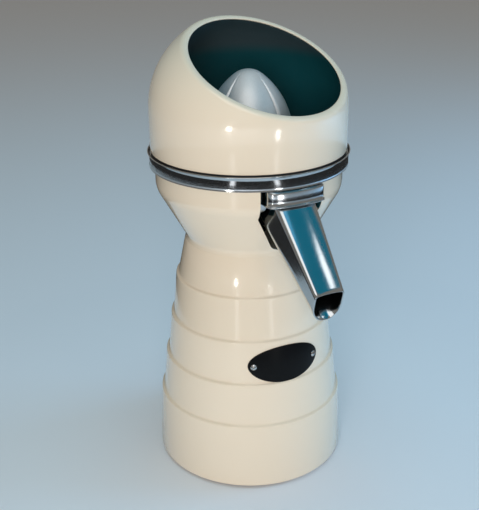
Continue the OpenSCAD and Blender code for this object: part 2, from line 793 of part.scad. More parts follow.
inside_r = side_r - reamer_wall - groove_d;
inside_a = acos((hub_r + 1 + reamer_bulge) / inside_r);
module reamer() color([0.78, 0.79, 0.80]) difference() {
    union() {
        ribbed_skin();
        rod(rim_r, reamer_z, reamer_z + rim_h);
    }
    spin(concat(
        [[hub_r, reamer_z - over], [hub_r, ribs_z + inside_r * sin(inside_a) - 2]],
        arc(-reamer_bulge, ribs_z, inside_r, inside_a, 0, 6),
        [[inside_r - reamer_bulge, reamer_z - over]]));
    rod(hub_r + 1, reamer_z - over, hub_z);
    rod(drive_r + run, reamer_z, shaft_top + lift);
    translate([-hub_r - 4, -pin_r - 0.15, reamer_z])
        cube([2 * hub_r + 8, 2 * pin_r + 0.3, pin_z + pin_r + 0.2 - reamer_z]);
}

// ---- bowl, collar and spout ----

// The outside of the bowl, as a solid
function bowl_outside() = concat(
    [[0, ledge_z - sheet], [0, floor_z]], arc(bowl_r - bowl_round, floor_z + bowl_round, bowl_round, -90, 0, 8),
    [[bowl_r, ledge_z - sheet]]);

module bowl() color(steel) difference() {
    spin(concat(
        [[tube_r, floor_z]],
        arc(bowl_r - bowl_round, floor_z + bowl_round, bowl_round, -90, 0, 8),
        [[bowl_r, ledge_z - sheet], [band_in, ledge_z - sheet], [band_in, ring_z],
         [ring_r + ring_flare, ring_z], [ring_r + ring_flare, ring_z + 0.6], [ring_r, ring_z + 2]],
        arc(band_in + 0.8, lip_z - 0.8, 0.8, 0, 180, 6),
        [[band_in, ledge_z], [bowl_r - sheet, ledge_z]],
        arc(bowl_r - bowl_round, floor_z + bowl_round, bowl_round - sheet, 0, -90, 8),
        [[tube_r + sheet + 2, floor_z + sheet], [tube_r + sheet, floor_z + sheet + 2],
         [tube_r + sheet, tube_top - 0.5], [tube_r + sheet / 2, tube_top], [tube_r, tube_top]]));
    outlet();
}

// The hole in the bowl's wall, inside the spout and below the ledge
module outlet() {
    intersection() {
        spout_solid(spout_wall);
        ring(bowl_r - bowl_round, bowl_r + 2, floor_z + sheet, ledge_z - 2 * sheet - 6);
    }
}

// A tongue in front of the bowl: upright sides, rounded corners and a front on radius r
module tongue(w, r, c, z0, z1) {
    corner_y = sqrt(pow(r - c, 2) - pow(w - c, 2));
    a = asin((w - c) / (r - c));
    for (s = [-1, 1]) translate([s * (w - c), -corner_y, 0]) rod(c, z0, z1);
    translate([-w, -corner_y, z0]) cube([2 * w, corner_y - bowl_r + bowl_round, z1 - z0]);
    intersection() {
        rod(r, z0, z1);
        translate([0, 0, z0]) linear_extrude(height = z1 - z0)
            polygon([[0, 0], [far * sin(a), -far * cos(a)], [-far * sin(a), -far * cos(a)]]);
    }
}

module outlet_collar() color(steel) difference() {
    union() {
        tongue(collar_w, ring_r, collar_round, ring_z - collar_h, ring_z);
        tongue(collar_w + 0.7, ring_r + 0.7, collar_round + 0.7, ring_z - collar_h,
               ring_z - collar_h + 1.4);
    }
    tongue(collar_w - sheet, ring_r - sheet, collar_round - sheet, ring_z - collar_h - over,
           ring_z + over);
    spin(bowl_outside());
    spout_solid(0);
}

// Spout: sections with a crowned top and a half-oval bottom, strung along the slope
spout_lip = 0.8;                     // the collar's lower edge to the spout's top
run_in = 24;                         // how far the sections start behind the collar's front
spout_along = (spout_reach - ring_r) / cos(spout_slope) + run_in;
mouth_shear = tan(spout_slope - mouth_lean);
mouth_crown = 0.6;
stations = 6;
top_n = 8;
side_n = 20;

// One section, g inside the outer face: points [across, down], clockwise from the left edge
function section(w, h, crown, g) = concat(
    [for (i = [0:top_n - 1]) let (x = -1 + 2 * i / top_n) [(w - g) * x, crown * x * x + g]],
    [for (i = [0:side_n - 1]) let (a = 180 * i / side_n)
        [(w - g) * cos(a), crown + g + (h - crown - 2 * g) * sin(a)]]);

// The section at share k of the way down, as points of the spout
function spout_ring(k, g) =
    let (w = spout_root_w + (spout_mouth_w - spout_root_w) * k,
         h = spout_root_h + (spout_mouth_h - spout_root_h) * k,
         crown = mouth_crown + (spout_crown - mouth_crown) * (1 - k))
    [for (p = section(w, h, crown, g))
        let (s = spout_along * k + (k == 1 ? p[1] * mouth_shear : 0) - run_in)
        [p[0], -ring_r - s * cos(spout_slope) + p[1] * sin(spout_slope),
         ring_z - collar_h + spout_lip - s * sin(spout_slope) - p[1] * cos(spout_slope)]];

ring_n = top_n + side_n;
function side_faces(n, flip, from) = [for (s = [0:stations - 1], i = [0:n - 1])
    let (a = from + s * n + i, b = from + s * n + (i + 1) % n, c = b + n, d = a + n)
    each (flip ? [[a, c, b], [a, d, c]] : [[a, b, c], [a, c, d]])];

// Middle of a closed ring of points
function middle(points) = [for (k = [0:2]) let (v = [for (p = points) p[k]]) (min(v) + max(v)) / 2];

module spout_solid(g) {
    rings = [for (s = [0:stations]) spout_ring(s / stations, g)];
    last = stations * ring_n;
    tip = last + ring_n;
    ends = [for (i = [0:ring_n - 1]) let (j = (i + 1) % ring_n)
        each [[tip, j, i], [tip + 1, last + i, last + j]]];
    polyhedron(concat([for (r = rings) each r], [middle(rings[0]), middle(rings[stations])]),
               concat(side_faces(ring_n, false, 0), ends));
}

module spout() color(bright) difference() {
    outer = [for (s = [0:stations]) each spout_ring(s / stations, 0)];
    inner = [for (s = [0:stations]) each spout_ring(s / stations, spout_wall)];
    first = len(outer);
    last = stations * ring_n;
    caps = [for (i = [0:ring_n - 1]) let (j = (i + 1) % ring_n)
        each [[i, first + i, first + j], [i, first + j, j],
              [last + i, first + last + j, first + last + i], [last + i, last + j, first + last + j]]];
    polyhedron(concat(outer, inner), concat(
        side_faces(ring_n, false, 0), side_faces(ring_n, true, first), caps));
    spin(bowl_outside());
}

// ---- strainer ----

slot_from = 17;
slot_gap = 3;
slot_l = (strainer_r - 7.2 - slot_from - 2 * slot_gap) / 3;

module strainer() color(bright) difference() {
    spin(concat(
        [[tube_r + sheet + 1, strainer_z]],
        arc(strainer_r - 4, strainer_z + 4, 4, -90, 0, 4),
        [[strainer_r, ledge_z + 0.2], [strainer_r + 3, ledge_z + 0.2],
         [strainer_r + 3, ledge_z + 0.2 + strainer_t], [strainer_r - strainer_t, ledge_z + 0.2 + strainer_t]],
        arc(strainer_r - 4, strainer_z + 4, 4 - strainer_t, 0, -90, 4),
        [[tube_r + sheet + 1 + strainer_t, strainer_z + strainer_t],
         [tube_r + sheet + 1 + strainer_t, strainer_z + 6], [tube_r + sheet + 1, strainer_z + 6]]));
    for (k = [0:2]) around(slot_n + 8 * k, slot_from + k * (slot_l + slot_gap))
        translate([0, -slot_w / 2, strainer_z - over]) cube([slot_l, slot_w, strainer_t + 2 * over]);
}

// ---- dome ----

// The dome's outline, g inside its outer face, closed on the axis
function dome_outline(g, z0) = concat(
    [[0, z0], [dome_r - g, z0]],
    [for (i = [0:18]) [(dome_r - g) * cos(5 * i), crown_z + (dome_rise - g) * sin(5 * i)]]);

// All that lies above the mouth's plane, lowered by d
module above_mouth(d = 0) {
    rotate([0, 0, dome_turn]) translate([0, 0, mouth_z - d]) rotate([mouth_tilt, 0, 0])
        translate([-far, -far, 0]) cube([2 * far, 2 * far, far]);
}

module dome() color(cream) difference() {
    spin(dome_outline(0, dome_z));
    spin(dome_outline(dome_wall, dome_z - over));
    above_mouth();
}

module dome_liner() color(dark) difference() {
    spin(dome_outline(dome_wall, dome_z + guide_h + 0.6));
    spin(dome_outline(dome_wall + liner_t, dome_z));
    above_mouth(1.2);
}

// The plastic ring that the dome turns on, with an upstand that centres the dome
module glide_ring() color(dark) {
    guide_r = dome_r - dome_wall - lift;
    spin([[guide_r - 1.8, ledge_z + 0.2], [band_in - lift, ledge_z + 0.2],
          [band_in - lift, dome_z - lift], [guide_r, dome_z - lift],
          [guide_r, dome_z + guide_h - 0.8], [guide_r - 0.8, dome_z + guide_h],
          [guide_r - 1.8, dome_z + guide_h]]);
}

body_casting();
cup_casting();
base_plate();
base_screws();
rubber_sole();
nameplate();
nameplate_screws();
upper_motor_bracket();
lower_motor_bracket();
stator_stack();
stator_windings();
upper_bearing();
lower_bearing();
motor_through_bolts();
motor_mount_screws();
shaft_seal();
run_capacitor();
capacitor_clamp();
terminal_block();
inner_screws();
cable_gland();
gland_locknut();
switch_housing();
bowl_gasket();
motor_shaft();
rotor();
cooling_fan();
slinger();
drive_pin();
reamer();
bowl();
outlet_collar();
spout();
strainer();
glide_ring();
dome();
dome_liner();
switch_rocker();
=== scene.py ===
"""Finished look of an electric citrus juicer: enamelled castings, polished bowl and spout, ribbed reamer."""

from math import acos, asin, atan, atan2, cos, hypot, pi, radians, sin, sqrt, tan

import bmesh
import bpy
from mathutils import Matrix, Vector


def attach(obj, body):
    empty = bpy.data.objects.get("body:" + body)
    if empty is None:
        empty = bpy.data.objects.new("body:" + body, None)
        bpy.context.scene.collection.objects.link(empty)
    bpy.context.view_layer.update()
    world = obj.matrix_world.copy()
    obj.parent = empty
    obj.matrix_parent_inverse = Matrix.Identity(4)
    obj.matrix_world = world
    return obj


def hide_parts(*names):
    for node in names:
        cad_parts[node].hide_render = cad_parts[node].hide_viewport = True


bl_info = {
    "name": "Citrus juicer",
    "version": (1, 0, 0),
    "blender": (4, 5, 0),
    "location": "3D View > Sidebar > Juicer",
    "description": "Builds the finished look of an electric citrus juicer",
    "category": "Add Mesh",
}

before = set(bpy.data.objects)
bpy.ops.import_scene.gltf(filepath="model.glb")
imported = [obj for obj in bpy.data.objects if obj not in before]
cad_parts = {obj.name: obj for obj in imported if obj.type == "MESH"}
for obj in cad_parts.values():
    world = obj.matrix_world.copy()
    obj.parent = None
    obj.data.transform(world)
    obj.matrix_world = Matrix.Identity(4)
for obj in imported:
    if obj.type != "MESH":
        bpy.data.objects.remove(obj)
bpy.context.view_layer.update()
MM = 0.001

# Heights in metres, from the counter up
DOME_Z = 274.6 * MM
CROWN_Z = 306.8 * MM
MOUTH_Z = 353.4 * MM

# Heights and radii in millimetres, for outlines
WAIST, WAIST_R = 201.6, 52.9
DECK, MOTOR_DECK = 202.2, 196.2
CUP_R, FLARE_H = 75.7, 48
RING, RING_R = 262.1, 80
RIM = 268.3
LEDGE = 271.8
BOWL_FLOOR, BOWL_BEND_R, BOWL_BEND = 235.8, 52.8, 18
RIBS = 281
STEP_IN, BAND_TAPER, BAND_H = 2.4, 3.1, 36.1
NOTCH_W, NOTCH_ROUND, NOTCH_RISE, NOTCH = 26.5, 11, 34, 203.5
COLLAR_H, SPOUT_OUT, SPOUT_RUN_IN = 12.5, 45.6, 24
SWITCH, GLAND = 38, 17

CORNERS = ((-1, -1), (1, -1), (1, 1), (-1, 1))


# ---- settings ----

class BodySettings(bpy.types.PropertyGroup):
    foot_radius: bpy.props.FloatProperty(
        name="Foot radius", description="Radius of the body at the counter",
        default=81.0 * MM, min=0.07, max=0.1, unit="LENGTH")
    step_round: bpy.props.FloatProperty(
        name="Step rounding", description="Radius of the shoulder and the hollow of each step",
        default=1.8 * MM, min=0.001, max=0.003, unit="LENGTH")
    notch_edge: bpy.props.FloatProperty(
        name="Notch edge", description="Width of the rounded edge round the spout's notch",
        default=0.9 * MM, min=0.0002, max=0.002, unit="LENGTH")
    enamel: bpy.props.FloatVectorProperty(
        name="Enamel", description="Colour of the body and the dome", subtype="COLOR",
        size=4, default=(0.82, 0.69, 0.53, 1.0), min=0.0, max=1.0)


class DomeSettings(bpy.types.PropertyGroup):
    mouth_tilt: bpy.props.FloatProperty(
        name="Mouth tilt", description="Tilt of the mouth from level",
        default=radians(27.8), min=0.2, max=0.7, unit="ROTATION")
    turn: bpy.props.FloatProperty(
        name="Turn", description="Turn of the dome from the spout, as it is set down",
        default=radians(13.4), min=-0.6, max=0.6, unit="ROTATION")
    rings: bpy.props.IntProperty(
        name="Rings", description="Rings of faces between the skirt and the mouth",
        default=36, min=12, max=80)
    # The lining colour is also painted as shade on the inward faces of the cup casting.
    lining: bpy.props.FloatVectorProperty(
        name="Lining", description="Colour of the dark lining", subtype="COLOR",
        size=4, default=(0.006, 0.075, 0.085, 1.0), min=0.0, max=1.0)


class MetalSettings(bpy.types.PropertyGroup):
    steel: bpy.props.FloatVectorProperty(
        name="Steel", description="Colour of the polished steel", subtype="COLOR",
        size=4, default=(0.60, 0.63, 0.65, 1.0), min=0.0, max=1.0)
    grooves: bpy.props.IntProperty(
        name="Long grooves", description="Number of grooves up to the reamer's point",
        default=4, min=4, max=6)
    groove_turn: bpy.props.FloatProperty(
        name="Groove turn", description="Turn of the first long groove from the spout's side",
        default=radians(21.0), min=-0.8, max=0.8, unit="ROTATION")
    groove_depth: bpy.props.FloatProperty(
        name="Groove depth", description="Depth of the reamer's grooves at the foot of the ribs",
        default=2.2 * MM, min=0.001, max=0.003, unit="LENGTH")
    cast: bpy.props.FloatVectorProperty(
        name="Cast metal", description="Colour of the reamer", subtype="COLOR",
        size=4, default=(0.82, 0.82, 0.81, 1.0), min=0.0, max=1.0)


class StageSettings(bpy.types.PropertyGroup):
    floor: bpy.props.FloatVectorProperty(
        name="Floor", description="Colour of the floor and the backdrop", subtype="COLOR",
        size=4, default=(0.80, 0.81, 0.83, 1.0), min=0.0, max=1.0)
    lamp_power: bpy.props.FloatProperty(
        name="Lamp power",
        description="Power of the small front lamp on the left in watts; the one on the right has 0.6 of it",
        default=0.22, min=0.0, max=50.0)
    fill: bpy.props.FloatProperty(
        name="Fill", description="Strength of the even light from all round",
        default=0.25, min=0.0, max=2.0)
    key: bpy.props.FloatProperty(
        name="Key light", description="Power of the large soft lamp at the front in watts",
        default=14.7, min=0.0, max=100.0)


# ---- modelling helpers ----

def clear():
    """Leaves nothing selected, in object mode."""
    if bpy.context.object and bpy.context.object.mode != "OBJECT":
        bpy.ops.object.mode_set(mode="OBJECT")
    bpy.ops.object.select_all(action="DESELECT")


def work_on(piece):
    clear()
    piece.select_set(True)
    bpy.context.view_layer.objects.active = piece
    return piece


def choose(piece, test, kind="VERT"):
    """Selects the vertices, edges or faces of a piece in edit mode that pass a test of their centre."""
    bpy.ops.mesh.select_mode(type=kind)
    bpy.ops.mesh.select_all(action="DESELECT")
    mesh = bmesh.from_edit_mesh(piece.data)
    found = 0
    for part in {"VERT": mesh.verts, "EDGE": mesh.edges, "FACE": mesh.faces}[kind]:
        if kind == "VERT":
            centre = part.co
        elif kind == "EDGE":
            centre = (part.verts[0].co + part.verts[1].co) / 2
        else:
            centre = part.calc_center_median()
        if test(centre, part) if kind != "VERT" else test(centre):
            part.select = True
            found += 1
    mesh.select_flush_mode()
    bmesh.update_edit_mesh(piece.data, loop_triangles=False, destructive=False)
    return found


def draw(name, points, closed=True):
    """Draws a line through points by extruding one vertex after the other, and stays in edit mode."""
    clear()
    points = [Vector(p) for p in points]
    bpy.ops.mesh.primitive_plane_add(size=0.001, location=points[0])
    piece = bpy.context.object
    piece.name = piece.data.name = name
    bpy.ops.object.transform_apply(location=True, rotation=True, scale=True)
    bpy.ops.object.mode_set(mode="EDIT")
    bpy.ops.mesh.select_mode(type="VERT")
    bpy.ops.mesh.select_all(action="SELECT")
    bpy.ops.mesh.merge(type="CENTER")
    for a, b in zip(points, points[1:]):
        bpy.ops.mesh.extrude_vertices_move(TRANSFORM_OT_translate={"value": b - a})
    if closed:
        ends = (points[0], points[-1])
        choose(piece, lambda c: min((c - e).length for e in ends) < 1e-7)
        bpy.ops.mesh.edge_face_add()
    return piece


def turned(name, outline, steps=192, closed=True):
    """A body turned about the spindle axis from an outline of (radius, height) points."""
    piece = draw(name, [(r, 0, z) for r, z in outline], closed)
    bpy.ops.mesh.select_all(action="SELECT")
    bpy.ops.mesh.spin(steps=steps, angle=2 * pi, center=(0, 0, 0), axis=(0, 0, 1))
    bpy.ops.mesh.select_all(action="SELECT")
    bpy.ops.mesh.remove_doubles(threshold=2e-6)
    bpy.ops.mesh.normals_make_consistent(inside=False)
    bpy.ops.object.mode_set(mode="OBJECT")
    return piece


def prism(name, outline, depth):
    """A closed outline filled and pushed out by a vector."""
    piece = draw(name, outline)
    bpy.ops.mesh.select_all(action="SELECT")
    bpy.ops.mesh.edge_face_add()
    bpy.ops.mesh.extrude_region_move(TRANSFORM_OT_translate={"value": depth})
    bpy.ops.mesh.select_all(action="SELECT")
    bpy.ops.mesh.normals_make_consistent(inside=False)
    bpy.ops.object.mode_set(mode="OBJECT")
    return piece


def modify(piece, kind, **settings):
    """Adds a modifier with its settings and applies it."""
    work_on(piece)
    modifier = piece.modifiers.new(kind.title(), kind)
    for key, value in settings.items():
        setattr(modifier, key, value)
    bpy.ops.object.modifier_apply(modifier=modifier.name)


def combine(piece, other, operation="DIFFERENCE"):
    """Cuts another piece out of this one, or keeps what they share. The other is used up."""
    modify(piece, "BOOLEAN", object=other, operation=operation, solver="EXACT")
    bpy.data.objects.remove(other)


def join(piece, *others):
    work_on(piece)
    for other in others:
        other.select_set(True)
    bpy.ops.object.join()
    return piece


def turn_piece(piece, angle):
    """Turns a whole piece about the spindle axis."""
    work_on(piece)
    piece.rotation_euler = (0, 0, angle)
    bpy.ops.object.transform_apply(location=True, rotation=True, scale=True)


def finish(piece, body, material, slot, *replaced, angle=32):
    """Shades a piece, gives it its material and says what it rides on and stands for."""
    work_on(piece)
    bpy.ops.object.transform_apply(location=True, rotation=True, scale=True)
    bpy.ops.object.shade_smooth_by_angle(angle=radians(angle))
    piece.data.materials.clear()
    piece.data.materials.append(material)
    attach(piece, body)
    if replaced:
        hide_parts(*replaced)
    return piece


def arc(x, y, radius, start, end, count=8):
    """Points of an arc between two angles in degrees, all in millimetres, as metres."""
    return [((x + radius * cos(radians(start + (end - start) * i / count))) * MM,
             (y + radius * sin(radians(start + (end - start) * i / count))) * MM)
            for i in range(count + 1)]


def mm(*points):
    return [(x * MM, y * MM) for x, y in points]


# ---- shared effects ----

def group_node(tree, group, **values):
    node = tree.nodes.new("ShaderNodeGroup")
    node.node_tree = group
    for key, value in values.items():
        node.inputs[key.replace("_", " ").capitalize()].default_value = value
    return node


def new_group(name, inputs, outputs):
    group = bpy.data.node_groups.new(name, "ShaderNodeTree")
    for label, kind, default in inputs:
        socket = group.interface.new_socket(name=label, in_out="INPUT", socket_type=kind)
        socket.default_value = default
    for label, kind in outputs:
        group.interface.new_socket(name=label, in_out="OUTPUT", socket_type=kind)
    return group, group.nodes.new("NodeGroupInput"), group.nodes.new("NodeGroupOutput")


def math_node(tree, operation, a, b):
    node = tree.nodes.new("ShaderNodeMath")
    node.operation = operation
    for socket, value in zip(node.inputs, (a, b)):
        if isinstance(value, (int, float)):
            socket.default_value = value
        else:
            tree.links.new(value, socket)
    return node.outputs[0]


def noise(tree, vector, scale, detail=3.0, roughness=0.5):
    node = tree.nodes.new("ShaderNodeTexNoise")
    node.inputs["Scale"].default_value = scale
    node.inputs["Detail"].default_value = detail
    node.inputs["Roughness"].default_value = roughness
    tree.links.new(vector, node.inputs["Vector"])
    return node.outputs["Fac"]


def blend_colours(tree, factor, a, b):
    node = tree.nodes.new("ShaderNodeMix")
    node.data_type = "RGBA"
    for name, value in (("Factor_Float", factor), ("A_Color", a), ("B_Color", b)):
        socket = next(s for s in node.inputs if s.identifier == name)
        if isinstance(value, (int, float, tuple)):
            socket.default_value = value
        else:
            tree.links.new(value, socket)
    return next(s for s in node.outputs if s.identifier == "Result_Color")


def make_mottle():
    """Soft uneven colour and sheen: broad clouds of tone and fine specks."""
    group, start, end = new_group(
        "Mottle",
        [("Colour", "NodeSocketColor", (0.8, 0.8, 0.8, 1)), ("Tint", "NodeSocketColor", (0.6, 0.6, 0.6, 1)),
         ("Clouds", "NodeSocketFloat", 12.0), ("Amount", "NodeSocketFloat", 0.2),
         ("Sheen", "NodeSocketFloat", 0.2), ("Sheen change", "NodeSocketFloat", 0.1)],
        [("Colour", "NodeSocketColor"), ("Sheen", "NodeSocketFloat"), ("Height", "NodeSocketFloat")])
    place = group.nodes.new("ShaderNodeTexCoord").outputs["Object"]
    clouds = group.nodes.new("ShaderNodeTexNoise")
    clouds.inputs["Detail"].default_value = 4.0
    group.links.new(place, clouds.inputs["Vector"])
    group.links.new(start.outputs["Clouds"], clouds.inputs["Scale"])
    specks = noise(group, place, 900.0, 2.0)
    mask = math_node(group, "MULTIPLY", clouds.outputs["Fac"], start.outputs["Amount"])
    group.links.new(blend_colours(group, mask, start.outputs["Colour"], start.outputs["Tint"]),
                    end.inputs["Colour"])
    change = math_node(group, "MULTIPLY", math_node(group, "SUBTRACT", clouds.outputs["Fac"], 0.5),
                       start.outputs["Sheen change"])
    group.links.new(math_node(group, "ADD", start.outputs["Sheen"], change), end.inputs["Sheen"])
    group.links.new(math_node(group, "ADD", clouds.outputs["Fac"],
                              math_node(group, "MULTIPLY", specks, 0.2)), end.inputs["Height"])
    return group


def make_brushing():
    """Fine lines that run one way, as a polishing wheel or a belt leaves them."""
    group, start, end = new_group(
        "Brushing",
        [("Stretch", "NodeSocketVector", (30.0, 30.0, 2500.0)), ("Sheen", "NodeSocketFloat", 0.1),
         ("Sheen change", "NodeSocketFloat", 0.08)],
        [("Sheen", "NodeSocketFloat"), ("Height", "NodeSocketFloat"), ("Lines", "NodeSocketFloat")])
    place = group.nodes.new("ShaderNodeTexCoord").outputs["Object"]
    scaled = group.nodes.new("ShaderNodeVectorMath")
    scaled.operation = "MULTIPLY"
    group.links.new(place, scaled.inputs[0])
    group.links.new(start.outputs["Stretch"], scaled.inputs[1])
    lines = noise(group, scaled.outputs[0], 1.0, 5.0, 0.65)
    change = math_node(group, "MULTIPLY", math_node(group, "SUBTRACT", lines, 0.5),
                       start.outputs["Sheen change"])
    group.links.new(math_node(group, "ADD", start.outputs["Sheen"], change), end.inputs["Sheen"])
    group.links.new(lines, end.inputs["Height"])
    group.links.new(lines, end.inputs["Lines"])
    return group


def bump(tree, height, strength, distance):
    node = tree.nodes.new("ShaderNodeBump")
    node.inputs["Strength"].default_value = strength
    node.inputs["Distance"].default_value = distance
    tree.links.new(height, node.inputs["Height"])
    return node.outputs["Normal"]


def new_material(name, **sockets):
    material = bpy.data.materials.new(name)
    material.use_nodes = True
    shader = material.node_tree.nodes["Principled BSDF"]
    for key, value in sockets.items():
        shader.inputs[key.replace("_", " ").title().replace("Ior", "IOR")].default_value = value
    return material, material.node_tree, shader


# ---- materials ----

def make_materials(scene):
    body, dome, metal = scene.juicer_body, scene.juicer_dome, scene.juicer_metal
    mottle, brushing = make_mottle(), make_brushing()
    made = {}

    def mottled(name, colour, tint, clouds, amount, sheen, change, strength, distance, **sockets):
        material, tree, shader = new_material(name, **sockets)
        node = group_node(tree, mottle, colour=colour, tint=tint, clouds=clouds, amount=amount,
                          sheen=sheen, sheen_change=change)
        tree.links.new(node.outputs["Colour"], shader.inputs["Base Color"])
        tree.links.new(node.outputs["Sheen"], shader.inputs["Roughness"])
        tree.links.new(bump(tree, node.outputs["Height"], strength, distance), shader.inputs["Normal"])
        made[name] = material
        return tree, shader, node

    def brushed(name, colour, stretch, sheen, change, strength, distance, **sockets):
        material, tree, shader = new_material(name, metallic=1.0, **sockets)
        node = group_node(tree, brushing, stretch=stretch, sheen=sheen, sheen_change=change)
        dull = tuple(c * 0.86 for c in colour[:3]) + (1,)
        tree.links.new(blend_colours(tree, node.outputs["Lines"], dull, colour), shader.inputs["Base Color"])
        tree.links.new(node.outputs["Sheen"], shader.inputs["Roughness"])
        tree.links.new(bump(tree, node.outputs["Height"], strength, distance), shader.inputs["Normal"])
        made[name] = material
        return shader

    tint = tuple(c * k for c, k in zip(body.enamel[:3], (0.95, 0.93, 0.88))) + (1,)
    mottled("cream_enamel", tuple(body.enamel), tint, 9.0, 0.5, 0.20, 0.05, 0.05, 0.0004,
            coat_weight=0.7, coat_roughness=0.06, specular_ior_level=0.5)

    # The lining's material is also painted shade inside the cup casting, and it carries a painted reflection
    # in the dome.
    tree, shader, node = mottled(
        "dark_lining_and_painted_light", tuple(dome.lining), (0.004, 0.035, 0.040, 1), 14.0, 0.6, 0.40, 0.08, 0.1, 0.0004)
    # Painted reflection: from 334 to 347 mm up, the lining blends into a lighter grey-teal. It is painted for
    # the light that comes in through the mouth onto the upper inside.
    painted_reflection_ramp = tree.nodes.new("ShaderNodeMapRange")
    painted_reflection_ramp.interpolation_type = "SMOOTHSTEP"
    painted_reflection_ramp.inputs["From Min"].default_value = 334 * MM
    painted_reflection_ramp.inputs["From Max"].default_value = 347 * MM
    place = tree.nodes.new("ShaderNodeSeparateXYZ")
    tree.links.new(tree.nodes.new("ShaderNodeTexCoord").outputs["Object"], place.inputs[0])
    tree.links.new(place.outputs["Z"], painted_reflection_ramp.inputs["Value"])
    tree.links.new(blend_colours(tree, painted_reflection_ramp.outputs["Result"], node.outputs["Colour"],
                                 (0.038, 0.062, 0.068, 1)), shader.inputs["Base Color"])

    steel = tuple(metal.steel)
    brushed("polished_band", steel, (25.0, 25.0, 3000.0), 0.10, 0.08, 0.12, 0.0001)
    brushed("polished_spout", steel, (60.0, 60.0, 60.0), 0.13, 0.05, 0.10, 0.0006)
    brushed("strainer_sheet", (0.66, 0.67, 0.68, 1), (40.0, 40.0, 900.0), 0.28, 0.10, 0.10, 0.0001)
    cast = brushed("cast_reamer", tuple(metal.cast), (700.0, 700.0, 90.0), 0.42, 0.14, 0.30, 0.0002)
    cast.inputs["Metallic"].default_value = 0.55
    brushed("bright_steel", (0.68, 0.69, 0.70, 1), (60.0, 60.0, 1500.0), 0.22, 0.08, 0.10, 0.0001)
    mottled("zinc_plating", (0.60, 0.61, 0.60, 1), (0.50, 0.52, 0.50, 1), 160.0,
            0.8, 0.36, 0.15, 0.1, 0.0001, metallic=1.0)
    mottled("cast_aluminium", (0.56, 0.57, 0.58, 1), (0.42, 0.43, 0.44, 1), 220.0,
            0.7, 0.5, 0.15, 0.4, 0.0003, metallic=1.0)
    mottled("drawn_aluminium", (0.74, 0.75, 0.76, 1), (0.64, 0.65, 0.66, 1), 60.0,
            0.6, 0.28, 0.1, 0.05, 0.0001, metallic=1.0)
    brushed("laminations", (0.24, 0.25, 0.26, 1), (20.0, 20.0, 2000.0), 0.5, 0.2, 0.8, 0.0003)
    brushed(
        "copper_wire", (0.55, 0.23, 0.09, 1), (300.0, 300.0, 2200.0), 0.3, 0.1, 0.9, 0.0005,
        coat_weight=0.5, coat_roughness=0.2)
    mottled("badge_enamel", (0.006, 0.006, 0.007, 1), (0.003, 0.004, 0.003, 1), 60.0,
            0.5, 0.3, 0.05, 0.05, 0.0002, specular_ior_level=0.1)
    mottled("black_rubber", (0.016, 0.016, 0.016, 1), (0.030, 0.030, 0.030, 1), 70.0,
            0.7, 0.72, 0.12, 0.3, 0.0003)
    mottled("black_plastic", (0.014, 0.014, 0.015, 1), (0.024, 0.024, 0.025, 1), 240.0,
            0.6, 0.42, 0.1, 0.3, 0.0002)
    mottled("rocker_plastic", (0.010, 0.010, 0.011, 1), (0.020, 0.020, 0.021, 1), 90.0,
            0.6, 0.22, 0.08, 0.1, 0.0002)
    mottled("pale_plastic", (0.62, 0.59, 0.50, 1), (0.52, 0.49, 0.40, 1), 80.0, 0.6, 0.45, 0.1, 0.2, 0.0002)
    return made


# ---- the castings ----

def stepped_wall(settings):
    """Outline of the body casting's outer face, from the foot to its top, in metres."""
    foot, round_ = settings.foot_radius / MM, settings.step_round / MM
    taper = 2.5
    turn = acos(1 - STEP_IN / (2 * round_)) * 180 / pi
    points = mm((foot - 2, 1.8), (foot - 1.2, 1.95), (foot - 0.5, 2.4), (foot, 3.8))
    radius, height = foot - taper, 57.2
    for band in range(4):
        points += arc(radius - round_, height, round_, 0, turn, 7)
        points += arc(radius - STEP_IN + round_, height + 2 * round_ * sin(radians(turn)), round_,
                      180 + turn, 180, 7)
        radius, height = radius - STEP_IN - BAND_TAPER, height + BAND_H
    return points


def parting():
    """The lean of the top band, and the radius and height where the two castings part."""
    lean = atan(6.7 / BAND_H)
    return lean, WAIST_R + 8 * (1 - cos(lean)) + tan(lean), WAIST - 8 * sin(lean) - 1


class JUICER_OT_body(bpy.types.Operator):
    """Turns the stepped body casting and cuts the recesses at its rear"""
    bl_idname = "juicer.body"
    bl_label = "Body casting"

    def execute(self, context):
        settings = context.scene.juicer_body
        _, part_r, part_z = parting()
        inside = [(part_r - 4, part_z), (part_r - 4, 195.2), (55.6, 162.5),
                  (58.0, 162.5), (61.1, 126.4), (63.5, 126.4), (66.6, 90.3), (69.0, 90.3),
                  (72.1, 54.2), (74.5, 54.2), (77, 1.8)]
        piece = turned("juicer_body", stepped_wall(settings) + mm((part_r, part_z), *inside))
        recess = [(sx * 15.5 * MM, 77.5 * MM, (SWITCH + sz * 11.5) * MM) for sx, sz in CORNERS]
        combine(piece, prism("recess", recess, (0, 0.01, 0)))
        body_hole = [(sx * 11.7 * MM, 65 * MM, (SWITCH + sz * 8.7) * MM) for sx, sz in CORNERS]
        combine(piece, prism("switch_hole", body_hole, (0, 0.02, 0)))
        for radius, start in ((11, 77.5), (6.3, 60)):
            circle = [(x, start * MM, z) for x, z in arc(0, GLAND, radius, 0, 352.5, 47)]
            combine(piece, prism("gland_hole", circle, (0, 0.03, 0)))
        modify(piece, "BEVEL", width=0.35 * MM, segments=2, limit_method="ANGLE",
               angle_limit=radians(60), harden_normals=False)
        finish(piece, "housing", MATERIALS["cream_enamel"], "enamel", "body_casting")
        return {"FINISHED"}


